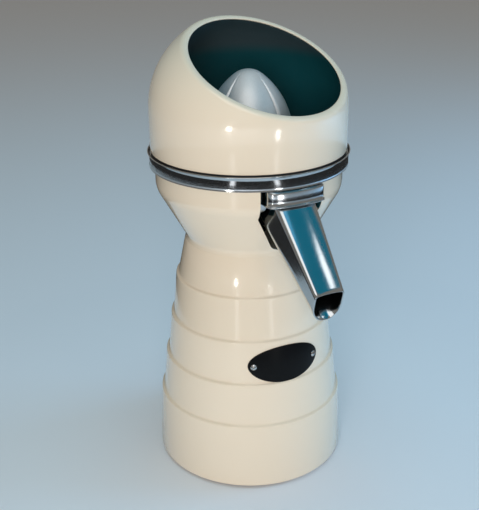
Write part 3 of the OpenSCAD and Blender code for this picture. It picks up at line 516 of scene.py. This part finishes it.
class JUICER_OT_cup(bpy.types.Operator):
    """Turns the cup casting and cuts the notch that lets the spout out"""
    bl_idname = "juicer.cup"
    bl_label = "Cup casting"

    def execute(self, context):
        settings = context.scene.juicer_body
        lean, part_r, part_z = parting()
        upright, curves = WAIST + FLARE_H, 28
        out = CUP_R - WAIST_R - curves
        flare = (atan2(out, FLARE_H)
                 + atan2(curves, sqrt(out ** 2 + FLARE_H ** 2 - curves ** 2))) * 180 / pi
        outline = mm((part_r - 4, MOTOR_DECK), (part_r - 4, part_z), (part_r, part_z))
        outline += arc(60.9, WAIST, 8, 180 + lean * 180 / pi, 180 - flare, 10)
        outline += arc(55.7, upright, 20, -flare, 0, 14)
        outline += mm((CUP_R, 263.1), (78.5, 264.5), (78.5, 267.7), (77.9, RIM), (72.1, RIM), (71.7, 267.9))
        outline += arc(55.7, upright, 16, 0, -flare, 10)
        outline += arc(60.9, WAIST, 12, 180 - flare, 177.2, 8)
        outline += mm((14, DECK), (14, MOTOR_DECK))
        piece = turned("juicer_cup", outline)
        side = atan((NOTCH_W - NOTCH_ROUND) / (NOTCH_RISE - NOTCH_ROUND)) * 0.86 * 180 / pi
        notch = mm((NOTCH_W, 275), (NOTCH_W, NOTCH + NOTCH_RISE))
        notch += arc(0, NOTCH + NOTCH_ROUND, NOTCH_ROUND, -side, -180 + side, 16)
        notch += mm((-NOTCH_W, NOTCH + NOTCH_RISE), (-NOTCH_W, 275))
        combine(piece, prism("notch", [(x, -36.9 * MM, z) for x, z in notch], (0, -0.06, 0)))
        modify(piece, "BEVEL", width=settings.notch_edge, segments=3, limit_method="ANGLE",
               angle_limit=radians(62), harden_normals=False)
        finish(piece, "housing", MATERIALS["cream_enamel"], "enamel", "cup_casting")

        # Painted shade: the cup casting's inward faces below 267 mm get the dark lining's material, so the
        # inside of the cup is painted as dark as shade.
        def painted_shade_faces(c, face):
            return face.normal.xy.dot(c.xy) < -0.3 * c.xy.length and c.z < 267 * MM

        piece.data.materials.append(MATERIALS["dark_lining_and_painted_light"])
        bpy.ops.object.mode_set(mode="EDIT")
        choose(piece, painted_shade_faces, "FACE")
        piece.active_material_index = 1
        bpy.ops.object.material_slot_assign()
        bpy.ops.object.mode_set(mode="OBJECT")
        return {"FINISHED"}


# ---- the dome ----

def leaning_cap(name, radius, rise, drop, settings, foot):
    """A dome whose rings lean more and more, up to its mouth. It's shaped as part of a ball, then pressed
    to its rise, turned about the spindle and given its upright skirt."""
    press = rise / radius
    tilt = atan(tan(settings.mouth_tilt) / press)
    reach = (MOUTH_Z - drop / cos(settings.mouth_tilt) - CROWN_Z) / press * cos(tilt)
    latitude = asin(reach / radius)
    clear()
    bpy.ops.mesh.primitive_circle_add(vertices=192, radius=radius, location=(0, 0, CROWN_Z))
    piece = bpy.context.object
    piece.name = piece.data.name = name
    bpy.ops.object.transform_apply(location=True, rotation=True, scale=True)
    bpy.ops.object.mode_set(mode="EDIT")
    bpy.ops.mesh.select_all(action="SELECT")
    centre, size, lean = Vector((0, 0, CROWN_Z)), radius, 0.0
    for i in range(1, settings.rings + 1):
        share = i / settings.rings
        new_lean, new_latitude = tilt * share, latitude * share
        normal = Vector((0, -sin(new_lean), cos(new_lean)))
        new_centre = Vector((0, 0, CROWN_Z)) + normal * radius * sin(new_latitude)
        new_size = radius * cos(new_latitude)
        bpy.ops.mesh.extrude_edges_move(TRANSFORM_OT_translate={"value": new_centre - centre})
        k = new_size / size
        bpy.ops.transform.resize(value=(k, k, k), center_override=new_centre)
        bpy.ops.transform.rotate(value=-(new_lean - lean), orient_axis="X", center_override=new_centre)
        centre, size, lean = new_centre, new_size, new_lean
    bpy.ops.mesh.select_all(action="SELECT")
    bpy.ops.transform.resize(value=(1, 1, press), center_override=(0, 0, CROWN_Z))
    choose(piece, lambda c: abs(c.z - CROWN_Z) < 1e-7)
    bpy.ops.mesh.extrude_edges_move(TRANSFORM_OT_translate={"value": (0, 0, foot - CROWN_Z)})
    bpy.ops.object.mode_set(mode="OBJECT")
    return piece


def mouth_ring(piece, settings, drop):
    """Selects the points of a cap's mouth and gives its centre and the mouth's normal."""
    lean = settings.mouth_tilt
    normal = Vector((0, -sin(lean), cos(lean)))
    on_axis = Vector((0, 0, MOUTH_Z - drop / cos(lean)))
    choose(piece, lambda c: abs((c - on_axis).dot(normal)) < 2e-6)
    mesh = bmesh.from_edit_mesh(piece.data)
    chosen = [v.co.copy() for v in mesh.verts if v.select]
    centre = sum(chosen, Vector()) / len(chosen)
    return centre, normal, sum((c - centre).length for c in chosen) / len(chosen)


class JUICER_OT_dome(bpy.types.Operator):
    """Shapes the dome with the rounded rim of its slanted mouth, and the dark lining in it"""
    bl_idname = "juicer.dome"
    bl_label = "Dome and lining"

    def execute(self, context):
        settings = context.scene.juicer_dome
        drop = 2.2 * MM
        outer = leaning_cap("juicer_dome", 79 * MM, 74.5 * MM, drop, settings, DOME_Z)
        inner = leaning_cap("dome_wall", 75.3 * MM, 70.8 * MM, 3.4 * MM, settings, DOME_Z)
        work_on(outer)
        bpy.ops.object.mode_set(mode="EDIT")
        centre, normal, size = mouth_ring(outer, settings, drop)
        path = [(0.0, -2.2), (0.5, -1.5), (1.1, -0.9), (1.8, -0.45), (2.6, -0.15), (3.5, 0.0), (5.3, 0.0),
                (6.0, -0.12), (6.4, -0.42), (6.48, -0.8), (6.2, -1.25), (5.1, -2.0)]
        at, height = size, path[0][1] * MM
        for inwards, level in path[1:]:
            move = normal * (level * MM - height)
            bpy.ops.mesh.extrude_edges_move(TRANSFORM_OT_translate={"value": move})
            centre, height = centre + move, level * MM
            k = (size - inwards * MM) / at
            at = size - inwards * MM
            bpy.ops.transform.resize(value=(k, k, k), center_override=centre)
        join(outer, inner)
        bpy.ops.object.mode_set(mode="EDIT")
        choose(outer, lambda c, e: e.is_boundary and c.z > CROWN_Z, "EDGE")
        bpy.ops.mesh.bridge_edge_loops()
        choose(outer, lambda c: abs(c.z - DOME_Z) < 1e-6 and hypot(c.x, c.y) > 77 * MM)
        bpy.ops.mesh.extrude_edges_move()
        bpy.ops.transform.resize(value=(75.3 / 79, 75.3 / 79, 1), center_override=(0, 0, DOME_Z))
        bpy.ops.mesh.select_all(action="SELECT")
        bpy.ops.mesh.remove_doubles(threshold=2e-6)
        choose(outer, lambda c, e: abs(c.z - DOME_Z) < 1e-6 and hypot(c.x, c.y) > 78.9 * MM, "EDGE")
        bpy.ops.mesh.bevel(offset=0.6 * MM, segments=3, affect="EDGES")
        bpy.ops.mesh.select_all(action="SELECT")
        bpy.ops.mesh.normals_make_consistent(inside=False)
        bpy.ops.transform.rotate(value=-settings.turn, orient_axis="Z", center_override=(0, 0, 0))
        bpy.ops.object.mode_set(mode="OBJECT")
        finish(outer, "dome_guard", MATERIALS["cream_enamel"], "enamel", "dome", angle=40)

        lining = leaning_cap("juicer_dome_lining", 74.55 * MM, 70.05 * MM, 2.3 * MM, settings,
                             DOME_Z + 4.6 * MM)
        work_on(lining)
        bpy.ops.object.mode_set(mode="EDIT")
        bpy.ops.mesh.select_all(action="SELECT")
        bpy.ops.mesh.normals_make_consistent(inside=False)
        bpy.ops.transform.rotate(value=-settings.turn, orient_axis="Z", center_override=(0, 0, 0))
        bpy.ops.object.mode_set(mode="OBJECT")
        modify(lining, "SOLIDIFY", thickness=0.7 * MM, offset=1.0)
        finish(lining, "dome_guard", MATERIALS["dark_lining_and_painted_light"], "dark_enamel", "dome_liner", angle=40)
        return {"FINISHED"}


# ---- bowl, collar and spout ----

class JUICER_OT_bowl(bpy.types.Operator):
    """Turns the bowl with its polished band and opens its wall to the spout"""
    bl_idname = "juicer.bowl"
    bl_label = "Bowl"

    def execute(self, context):
        outline = mm((8.6, BOWL_FLOOR)) + arc(BOWL_BEND_R, BOWL_FLOOR + BOWL_BEND, BOWL_BEND, -90, 0, 14)
        outline += mm((70.8, 270.6), (78.8, 270.6), (78.8, RING), (80.1, RING), (80.25, 262.2),
                      (80.25, 262.45), (80.1, 262.7), (80.02, 263.1), (80.0, 264.4), (80.0, 267),
                      (80.1, 270.6), (80.4, 271.9), (80.9, 272.8))
        outline += arc(80.9, 273.2, 0.5, -40, 175, 10)
        outline += mm((79.9, 272.4), (79.3, LEDGE), (69.6, LEDGE))
        outline += arc(BOWL_BEND_R, BOWL_FLOOR + BOWL_BEND, 16.8, 0, -90, 14)
        outline += mm((11.8, 237.0), (10.4, 237.6), (9.8, 239.0), (9.8, 280.4))
        outline += arc(9.2, 280.4, 0.6, 0, 180, 5)
        piece = turned("juicer_bowl", outline)
        opening = [(x, -48 * MM, z) for x, z in mm((-14, 260), (-16, 257), (-16, 244), (-10, 238.2),
                                                   (10, 238.2), (16, 244), (16, 257), (14, 260))]
        combine(piece, prism("outlet", opening, (0, -0.0245, 0)))
        finish(piece, "juice_bowl", MATERIALS["polished_band"], "polished_steel", "bowl", angle=38)
        return {"FINISHED"}


def collar_line(half, radius, corner, back):
    """Plan of the collar from its left back end round the front to its right back end, in millimetres."""
    turn = asin((half - corner) / (radius - corner)) * 180 / pi
    corner_y = sqrt((radius - corner) ** 2 - (half - corner) ** 2)
    points = [(-half, -back)]
    points += [(-(half - corner) - corner * cos(radians(a)), -corner_y - corner * sin(radians(a)))
               for a in [i * (90 - turn) / 8 for i in range(9)]]
    points += [(radius * sin(radians(a)), -radius * cos(radians(a)))
               for a in [-turn + 2 * turn * i / 16 for i in range(1, 16)]]
    right = [(-x, y) for x, y in reversed(points[:10])]
    return points + right


class JUICER_OT_collar(bpy.types.Operator):
    """Forms the collar over the spout from a strip of sheet, with the bead along its lower edge"""
    bl_idname = "juicer.collar"
    bl_label = "Outlet collar"

    def execute(self, context):
        level, spread = 249.75, 1.0
        plan = collar_line(23.5, 83.6, 5.5, 60)
        piece = draw("juicer_collar", [(x * MM, y * MM, level * MM) for x, y in plan], closed=False)
        bpy.ops.mesh.select_all(action="SELECT")
        for new_level, new_spread in ((249.62, 1.010), (249.66, 1.022), (249.9, 1.031), (250.35, 1.034),
                                      (250.8, 1.030), (251.05, 1.018), (251.2, 1.006), (251.45, 1.0),
                                      (255.0, 1.0), (260.6, 1.0), (261.3, 0.994), (261.7, 0.975),
                                      (261.8, 0.945), (261.8, 0.87)):
            bpy.ops.mesh.extrude_edges_move(
                TRANSFORM_OT_translate={"value": (0, 0, (new_level - level) * MM)})
            k = new_spread / spread
            bpy.ops.transform.resize(value=(k, k, 1), center_override=(0, -58 * MM, 0))
            level, spread = new_level, new_spread
        bpy.ops.mesh.select_all(action="SELECT")
        bpy.ops.mesh.normals_make_consistent(inside=False)
        bpy.ops.object.mode_set(mode="OBJECT")
        facing = sum((f.normal.y * f.area for f in piece.data.polygons))
        modify(piece, "SOLIDIFY", thickness=1.1 * MM, offset=-1.0 if facing < 0 else 1.0)
        modify(piece, "BEVEL", width=0.25 * MM, segments=2, limit_method="ANGLE", angle_limit=radians(60))
        finish(piece, "juice_bowl", MATERIALS["polished_spout"], "polished_steel", "outlet_collar", angle=45)
        return {"FINISHED"}


SLOPE = radians(50.3)


def spout_section(half, upright, corner, crown, along, aside=0.0, shear=0.0, flare=0.0):
    """One closed section of the spout: a crowned top, tight shoulders, upright sides and a round bottom.
    It's placed at a distance along the slope, in millimetres, and given in metres."""
    shoulder = 1.3
    flat = []
    for i in range(17):
        x = (-1 + i / 8) * (1 - shoulder / half)
        flat.append((half * x, crown * x * x))
    side = [(half + flare * i / 8, crown + shoulder + (upright - shoulder) * i / 8) for i in range(9)]
    side += [(half + flare - corner * (1 - cos(radians(a))), crown + upright + corner * sin(radians(a)))
             for a in [9 * i for i in range(1, 11)]]
    flat += side + [(-x, down) for x, down in reversed(side)]
    points = []
    for across, down in flat:
        s = along + down * shear - SPOUT_RUN_IN
        points.append(((across + aside) * MM,
                       (-RING_R - s * cos(SLOPE) + down * sin(SLOPE)) * MM,
                       (RING - COLLAR_H + 0.8 - s * sin(SLOPE) - down * cos(SLOPE)) * MM))
    return points


class JUICER_OT_spout(bpy.types.Operator):
    """Lofts the spout between its root and its mouth"""
    bl_idname = "juicer.spout"
    bl_label = "Spout"

    def execute(self, context):
        length, start = SPOUT_OUT / cos(SLOPE) + SPOUT_RUN_IN, 5.0
        root = draw("juicer_spout", spout_section(17.8, 23.0, 8.0, 2.6, start, -1.0, flare=3.5))
        bpy.ops.object.mode_set(mode="OBJECT")
        shear = tan(SLOPE - radians(14.7))
        mouth = draw("spout_mouth", spout_section(12.4, 8.2, 11.4, 1.0, length, 1.8, shear))
        bpy.ops.object.mode_set(mode="OBJECT")
        join(root, mouth)
        bpy.ops.object.mode_set(mode="EDIT")
        bpy.ops.mesh.select_all(action="SELECT")
        bpy.ops.mesh.select_mode(type="EDGE")
        bpy.ops.mesh.bridge_edge_loops(number_cuts=24, interpolation="LINEAR")
        bpy.ops.mesh.select_all(action="SELECT")
        bpy.ops.mesh.normals_make_consistent(inside=False)
        bpy.ops.object.mode_set(mode="OBJECT")
        modify(root, "SOLIDIFY", thickness=1.0 * MM, offset=-1.0, use_even_offset=True)
        modify(root, "BEVEL", width=0.28 * MM, segments=2, limit_method="ANGLE", angle_limit=radians(65))
        inside = turned("bowl_space", mm((0, BOWL_FLOOR))
                        + arc(BOWL_BEND_R, BOWL_FLOOR + BOWL_BEND, BOWL_BEND, -90, 0, 12)
                        + mm((70.8, 275), (0, 275)), closed=False)
        combine(root, inside)
        finish(root, "juice_bowl", MATERIALS["polished_spout"], "polished_steel", "spout", angle=50)
        return {"FINISHED"}


# ---- reamer ----

class JUICER_OT_reamer(bpy.types.Operator):
    """Turns the reamer and presses its long and short grooves"""
    bl_idname = "juicer.reamer"
    bl_label = "Reamer"

    def execute(self, context):
        settings = context.scene.juicer_metal
        side_r, bulge, rise = 65.0, 29.0, 55.0
        nose_r = (side_r ** 2 - rise ** 2 - bulge ** 2) / (2 * (side_r - rise))
        nose_z = RIBS + rise - nose_r
        nose_a = atan2(nose_z - RIBS, bulge) * 180 / pi
        skin = arc(-bulge, RIBS, side_r, 0, nose_a, 22) + arc(0, nose_z, nose_r, nose_a, 87, 12)[1:]
        outline = mm((0, RIBS + rise)) + skin[::-1] + mm((36.0, 278), (36.1, 277.1))
        outline += arc(36.4, 276.6, 0.4, 90, 20, 3) + arc(36.3, 274.5, 0.5, 0, -60, 3) + mm((31.6, 274))
        outline += arc(-bulge, RIBS, side_r - 5.2, 2, 36, 8)
        outline += mm((12.5, 316), (11, 313), (11, 284), (5.05, 284), (5.05, 312.65), (0, 312.65))
        piece = turned("juicer_reamer", outline, steps=240, closed=False)
        bpy.ops.object.mode_set(mode="EDIT")
        pitch, first = 360 / settings.grooves, settings.groove_turn * 180 / pi
        for r, z in skin:
            k = max(0.0, (z / MM - RIBS) / rise)
            depths = (min(1.0, 2.4 * (1 - k)), max(0.0, 1 - k / 0.5))
            for kind, depth in enumerate(depths):
                for offset, share in ((0.0, 1.0), (1.5, 0.52), (3.0, 0.10)):
                    press = depth * share * settings.groove_depth
                    if press < 1e-5:
                        continue

                    def on_groove(c):
                        if abs(c.z - z) > 1e-6 or abs(hypot(c.x, c.y) - r) > 1e-6:
                            return False
                        turn = (atan2(c.y, c.x) * 180 / pi + 90 - first - kind * pitch / 2) % pitch
                        return abs(min(turn, pitch - turn) - offset) < 0.1

                    if choose(piece, on_groove):
                        f = (r - press) / r
                        bpy.ops.transform.resize(value=(f, f, 1), center_override=(0, 0, z))
        bpy.ops.object.mode_set(mode="OBJECT")
        slot = [(sx * 15 * MM, sy * 2.15 * MM, 273 * MM) for sx, sy in CORNERS]
        combine(piece, prism("pin_slot", slot, (0, 0, 17.2 * MM)))
        finish(piece, "reamer_cone", MATERIALS["cast_reamer"], "cast_reamer", "reamer", angle=50)
        return {"FINISHED"}


# ---- nameplate and its screws ----

BAND_FOOT, BAND_TOP = (70.6, 93.3 + 3.6 * sin(acos(1 - STEP_IN / 3.6))), (67.5, 129.4)
BADGE_Z = (BAND_FOOT[1] + BAND_TOP[1]) / 2 - 2.6
BADGE_TURN = radians(-2)
BADGE_LEAN = atan(BAND_TAPER / (BAND_TOP[1] - BAND_FOOT[1]))
BADGE_R = BAND_FOOT[0] - (BADGE_Z - BAND_FOOT[1]) * tan(BADGE_LEAN)


class JUICER_OT_nameplate(bpy.types.Operator):
    """Curves the bare oval plate round the body and sets its two screws"""
    bl_idname = "juicer.nameplate"
    bl_label = "Nameplate"

    def execute(self, context):
        (r0, z0), (r1, z1) = BAND_FOOT, BAND_TOP
        low = 1.7
        foot = r0 + low * tan(BADGE_LEAN)
        shell = turned("juicer_nameplate", mm((foot + 0.3, z0 - low), (foot + 1.1, z0 - low), (r1 + 1.1, z1),
                                              (r1, z1), (r0, z0), (foot + 0.05, z0 - low * 0.6)), steps=384)
        oval = [(31 * MM * cos(a), -35 * MM, (BADGE_Z + 15.6 * sin(a)) * MM)
                for a in [2 * pi * i / 96 for i in range(96)]]
        combine(shell, prism("oval", oval, (0, -0.07, 0)), "INTERSECT")
        modify(shell, "BEVEL", width=0.3 * MM, segments=3, limit_method="ANGLE", angle_limit=radians(55))
        turn_piece(shell, BADGE_TURN)
        finish(shell, "housing", MATERIALS["badge_enamel"], "badge_enamel", "nameplate", angle=40)

        turn, seat = asin(26.6 / BADGE_R), (BADGE_R + 1.1) / cos(BADGE_LEAN)
        screw = turned("juicer_plate_screws", mm((0, -0.6), (2.3, -0.6), (2.5, -0.4), (2.6, 0.1), (2.6, 0.35))
                       + arc(0, -1.63, 3.28, 37.2, 90, 8), steps=48, closed=False)
        slot = [(sx * 0.36 * MM, sy * 3 * MM, 0.75 * MM) for sx, sy in CORNERS]
        combine(screw, prism("slot", slot, (0, 0, 2 * MM)))
        copies = []
        for side, slot_turn in ((-1, 0.5), (1, 1.3)):
            work_on(screw)
            bpy.ops.object.duplicate()
            copy = bpy.context.object
            copy.matrix_world = (Matrix.Translation((0, 0, (BADGE_Z - seat * sin(BADGE_LEAN)) * MM))
                                 @ Matrix.Rotation(side * turn - pi / 2 + BADGE_TURN, 4, "Z")
                                 @ Matrix.Rotation(pi / 2 - BADGE_LEAN, 4, "Y")
                                 @ Matrix.Translation((0, 0, seat * MM))
                                 @ Matrix.Rotation(slot_turn, 4, "Z"))
            bpy.ops.object.transform_apply(location=True, rotation=True, scale=True)
            copies.append(copy)
        bpy.data.objects.remove(screw)
        pair = join(copies[0], copies[1])
        pair.name = pair.data.name = "juicer_plate_screws"
        finish(pair, "housing", MATERIALS["bright_steel"], "bright_steel", "nameplate_screws", angle=40)
        return {"FINISHED"}


# ---- the CAD solids that stay ----

STAYING = {
    "base_plate": "zinc_plating", "base_screws": "zinc_plating", "rubber_sole": "black_rubber",
    "upper_motor_bracket": "cast_aluminium", "lower_motor_bracket": "cast_aluminium",
    "stator_stack": "laminations", "stator_windings": "copper_wire", "upper_bearing": "bright_steel",
    "lower_bearing": "bright_steel", "motor_through_bolts": "zinc_plating",
    "motor_mount_screws": "zinc_plating", "shaft_seal": "black_rubber", "run_capacitor": "drawn_aluminium",
    "capacitor_clamp": "zinc_plating", "terminal_block": "pale_plastic", "inner_screws": "zinc_plating",
    "cable_gland": "black_plastic", "gland_locknut": "zinc_plating", "switch_housing": "black_plastic",
    "bowl_gasket": "black_rubber", "motor_shaft": "bright_steel", "rotor": "laminations",
    "cooling_fan": "black_plastic", "slinger": "black_rubber", "drive_pin": "bright_steel",
    "strainer": "strainer_sheet", "glide_ring": "black_plastic", "switch_rocker": "rocker_plastic",
}


class JUICER_OT_finishes(bpy.types.Operator):
    """Gives each solid that stays its own finish"""
    bl_idname = "juicer.finishes"
    bl_label = "Finishes of the other pieces"

    def execute(self, context):
        for node, name in STAYING.items():
            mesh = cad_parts[node].data
            mesh.materials.clear()
            mesh.materials.append(MATERIALS[name])
        return {"FINISHED"}


# ---- stage ----

FRONT = radians(27.0)


def flat_material(name, colour, strength):
    """A surface that shines evenly, for the cards that the metal reflects."""
    material = bpy.data.materials.new(name)
    material.use_nodes = True
    tree = material.node_tree
    tree.nodes.clear()
    light = tree.nodes.new("ShaderNodeEmission")
    light.inputs["Color"].default_value = colour
    light.inputs["Strength"].default_value = strength
    output = tree.nodes.new("ShaderNodeOutputMaterial")
    tree.links.new(light.outputs[0], output.inputs["Surface"])
    return material


def card(name, azimuth, elevation, distance, width, height, colour, strength):
    """A card that faces the juicer and shows only in reflections."""
    clear()
    az, el = radians(azimuth), radians(elevation)
    way = Vector((sin(az) * cos(el), -cos(az) * cos(el), sin(el)))
    aim = Vector((0, -0.05, 0.24))
    bpy.ops.mesh.primitive_plane_add(size=1, location=aim + way * distance)
    piece = bpy.context.object
    piece.name = name
    piece.scale = (width, height, 1)
    piece.rotation_euler = way.to_track_quat("Z", "Y").to_euler()
    piece.visible_camera = piece.visible_diffuse = piece.visible_shadow = False
    piece.visible_transmission = piece.visible_volume_scatter = False
    piece.data.materials.append(flat_material(name, colour, strength))
    return piece


def lamp(name, location, aim, size, power, colour, shape="DISK"):
    clear()
    bpy.ops.object.light_add(type="AREA", location=location)
    piece = bpy.context.object
    piece.name = name
    piece.data.shape = shape
    piece.data.size = size
    piece.data.energy = power
    piece.data.color = colour
    piece.visible_camera = False
    piece.rotation_euler = (Vector(aim) - Vector(location)).to_track_quat("-Z", "Y").to_euler()
    return piece


# The side and top lamps and the two sky cards are blue. They tint the floor, the shaded enamel and
# the spout: in white light, without the cards, the spout and the bowl's band are plain grey.
RIGHT_LAMP_SHARE = 0.6
SIDE_POWER, SIDE_BLUE = 12.0, (0.25, 0.60, 1.0)
TOP_POWER, TOP_BLUE = 9.0, (0.28, 0.75, 1.0)
LOW_CARD_GREY = (0.03, 0.03, 0.03, 1)

# The camera, in metres and radians, and its lens in millimetres
CAMERA_BACK, CAMERA_UP = 0.69387, 0.47499
TARGET_ASIDE, TARGET_UP = 0.00824, 0.1788
CAMERA_ROLL, CAMERA_LENS = -0.01111, 62.95


class JUICER_OT_stage(bpy.types.Operator):
    """Sets the floor, the soft light, the cards for the metal's reflections and the camera"""
    bl_idname = "juicer.stage"
    bl_label = "Stage"

    def execute(self, context):
        settings = context.scene.juicer_stage
        clear()
        bpy.ops.mesh.primitive_circle_add(vertices=96, radius=6, fill_type="NGON", location=(0, 0, 0))
        floor = bpy.context.object
        floor.name = "stage_floor"
        material, _, shader = new_material("plain_floor", roughness=0.75)
        shader.inputs["Base Color"].default_value = settings.floor
        floor.data.materials.append(material)

        world = bpy.data.worlds.new("plain_world")
        world.use_nodes = True
        ground = world.node_tree.nodes["Background"]
        ground.inputs["Color"].default_value = (1.0, 0.94, 0.85, 1)
        ground.inputs["Strength"].default_value = settings.fill
        context.scene.world = world

        def around(az, distance, height):
            return (sin(radians(az)) * distance, -cos(radians(az)) * distance, height)

        power = settings.lamp_power
        lamp("lamp_left", around(-47, 0.66, 0.19), (0, 0, 0.25), 0.075, power, (1.0, 0.95, 0.88))
        lamp("lamp_right", around(4, 0.66, 0.135), (0, 0, 0.25), 0.065, power * RIGHT_LAMP_SHARE,
             (1.0, 0.97, 0.94))
        front = lamp("soft_key", around(-32, 1.6, 0.62), (0, 0, 0.2), 0.7, settings.key,
                     (0.94, 0.96, 1.0), "SQUARE")
        side = lamp("soft_right", around(72, 1.5, 0.5), (0, 0, 0.2), 0.8, SIDE_POWER, SIDE_BLUE, "SQUARE")
        top = lamp("soft_top", (0, 0, 1.8), (0, 0, 0.2), 1.0, TOP_POWER, TOP_BLUE, "SQUARE")
        for soft in (front, side, top):
            soft.visible_glossy = False

        card("card_sky", 42, 47, 1.0, 0.75, 0.55, (0.010, 0.190, 0.290, 1), 1.0)
        card("card_sky_left", 4, 56, 1.05, 0.30, 0.40, (0.09, 0.50, 0.80, 1), 1.0)
        card("card_window", 45, 37, 0.85, 0.11, 0.09, (0.95, 0.98, 1.0, 1), 2.2)
        card("card_front", -27, 52, 0.95, 0.62, 0.80, (1.0, 0.99, 0.97, 1), 1.5)
        for az, wide in ((-49, 0.035), (3, 0.035)):
            streak = card("card_streak_%d" % (az + 90), az, 0, 0.38, wide, 0.13, (0.98, 0.98, 1.0, 1), 1.5)
            streak.location.z = 0.075
        for i in range(24):
            wall = card("card_low_%d" % i, -172.5 + 15 * i, 0, 0.42, 0.13, 0.155, LOW_CARD_GREY, 1.0)
            wall.location.z = 0.078

        sight = Vector((-CAMERA_BACK * sin(FRONT), -CAMERA_BACK * cos(FRONT), CAMERA_UP))
        target = Vector((-TARGET_ASIDE * cos(FRONT), TARGET_ASIDE * sin(FRONT), TARGET_UP))
        clear()
        bpy.ops.object.camera_add(location=sight)
        camera = bpy.context.object
        forward = (target - sight).normalized()
        right = forward.cross(Vector((0, 0, 1))).normalized()
        up = right.cross(forward)
        across = cos(CAMERA_ROLL) * right + sin(CAMERA_ROLL) * up
        upward = -sin(CAMERA_ROLL) * right + cos(CAMERA_ROLL) * up
        camera.matrix_world = Matrix((
            (across.x, upward.x, -forward.x, sight.x), (across.y, upward.y, -forward.y, sight.y),
            (across.z, upward.z, -forward.z, sight.z), (0, 0, 0, 1)))
        camera.data.lens = CAMERA_LENS
        camera.data.sensor_width = 36
        camera.data.clip_start = 0.01
        context.scene.camera = camera
        context.scene.view_settings.view_transform = "Standard"
        clear()
        return {"FINISHED"}


class JUICER_PT_panel(bpy.types.Panel):
    """Lists the juicer's pieces and their settings"""
    bl_idname = "JUICER_PT_panel"
    bl_label = "Citrus juicer"
    bl_space_type = "VIEW_3D"
    bl_region_type = "UI"
    bl_category = "Juicer"

    def draw(self, context):
        layout = self.layout
        for label, group in (("Castings", "juicer_body"), ("Dome", "juicer_dome"),
                             ("Metal", "juicer_metal"), ("Stage", "juicer_stage")):
            box = layout.box()
            box.label(text=label)
            settings = getattr(context.scene, group)
            for key in settings.bl_rna.properties.keys():
                if key not in ("rna_type", "name"):
                    box.prop(settings, key)
        for operator in OPERATORS:
            layout.operator(operator.bl_idname)


SETTINGS = {"juicer_body": BodySettings, "juicer_dome": DomeSettings,
            "juicer_metal": MetalSettings, "juicer_stage": StageSettings}
OPERATORS = (JUICER_OT_body, JUICER_OT_cup, JUICER_OT_dome, JUICER_OT_bowl, JUICER_OT_collar,
             JUICER_OT_spout, JUICER_OT_reamer, JUICER_OT_nameplate, JUICER_OT_finishes, JUICER_OT_stage)
MATERIALS = {}


def register():
    for name, group in SETTINGS.items():
        bpy.utils.register_class(group)
        setattr(bpy.types.Scene, name, bpy.props.PointerProperty(type=group))
    for operator in OPERATORS:
        bpy.utils.register_class(operator)
    bpy.utils.register_class(JUICER_PT_panel)


def unregister():
    bpy.utils.unregister_class(JUICER_PT_panel)
    for operator in reversed(OPERATORS):
        bpy.utils.unregister_class(operator)
    for name, group in SETTINGS.items():
        delattr(bpy.types.Scene, name)
        bpy.utils.unregister_class(group)


def main():
    register()
    MATERIALS.update(make_materials(bpy.context.scene))
    for operator in OPERATORS:
        category, name = operator.bl_idname.split(".")
        getattr(getattr(bpy.ops, category), name)()


if __name__ == "__main__":
    main()
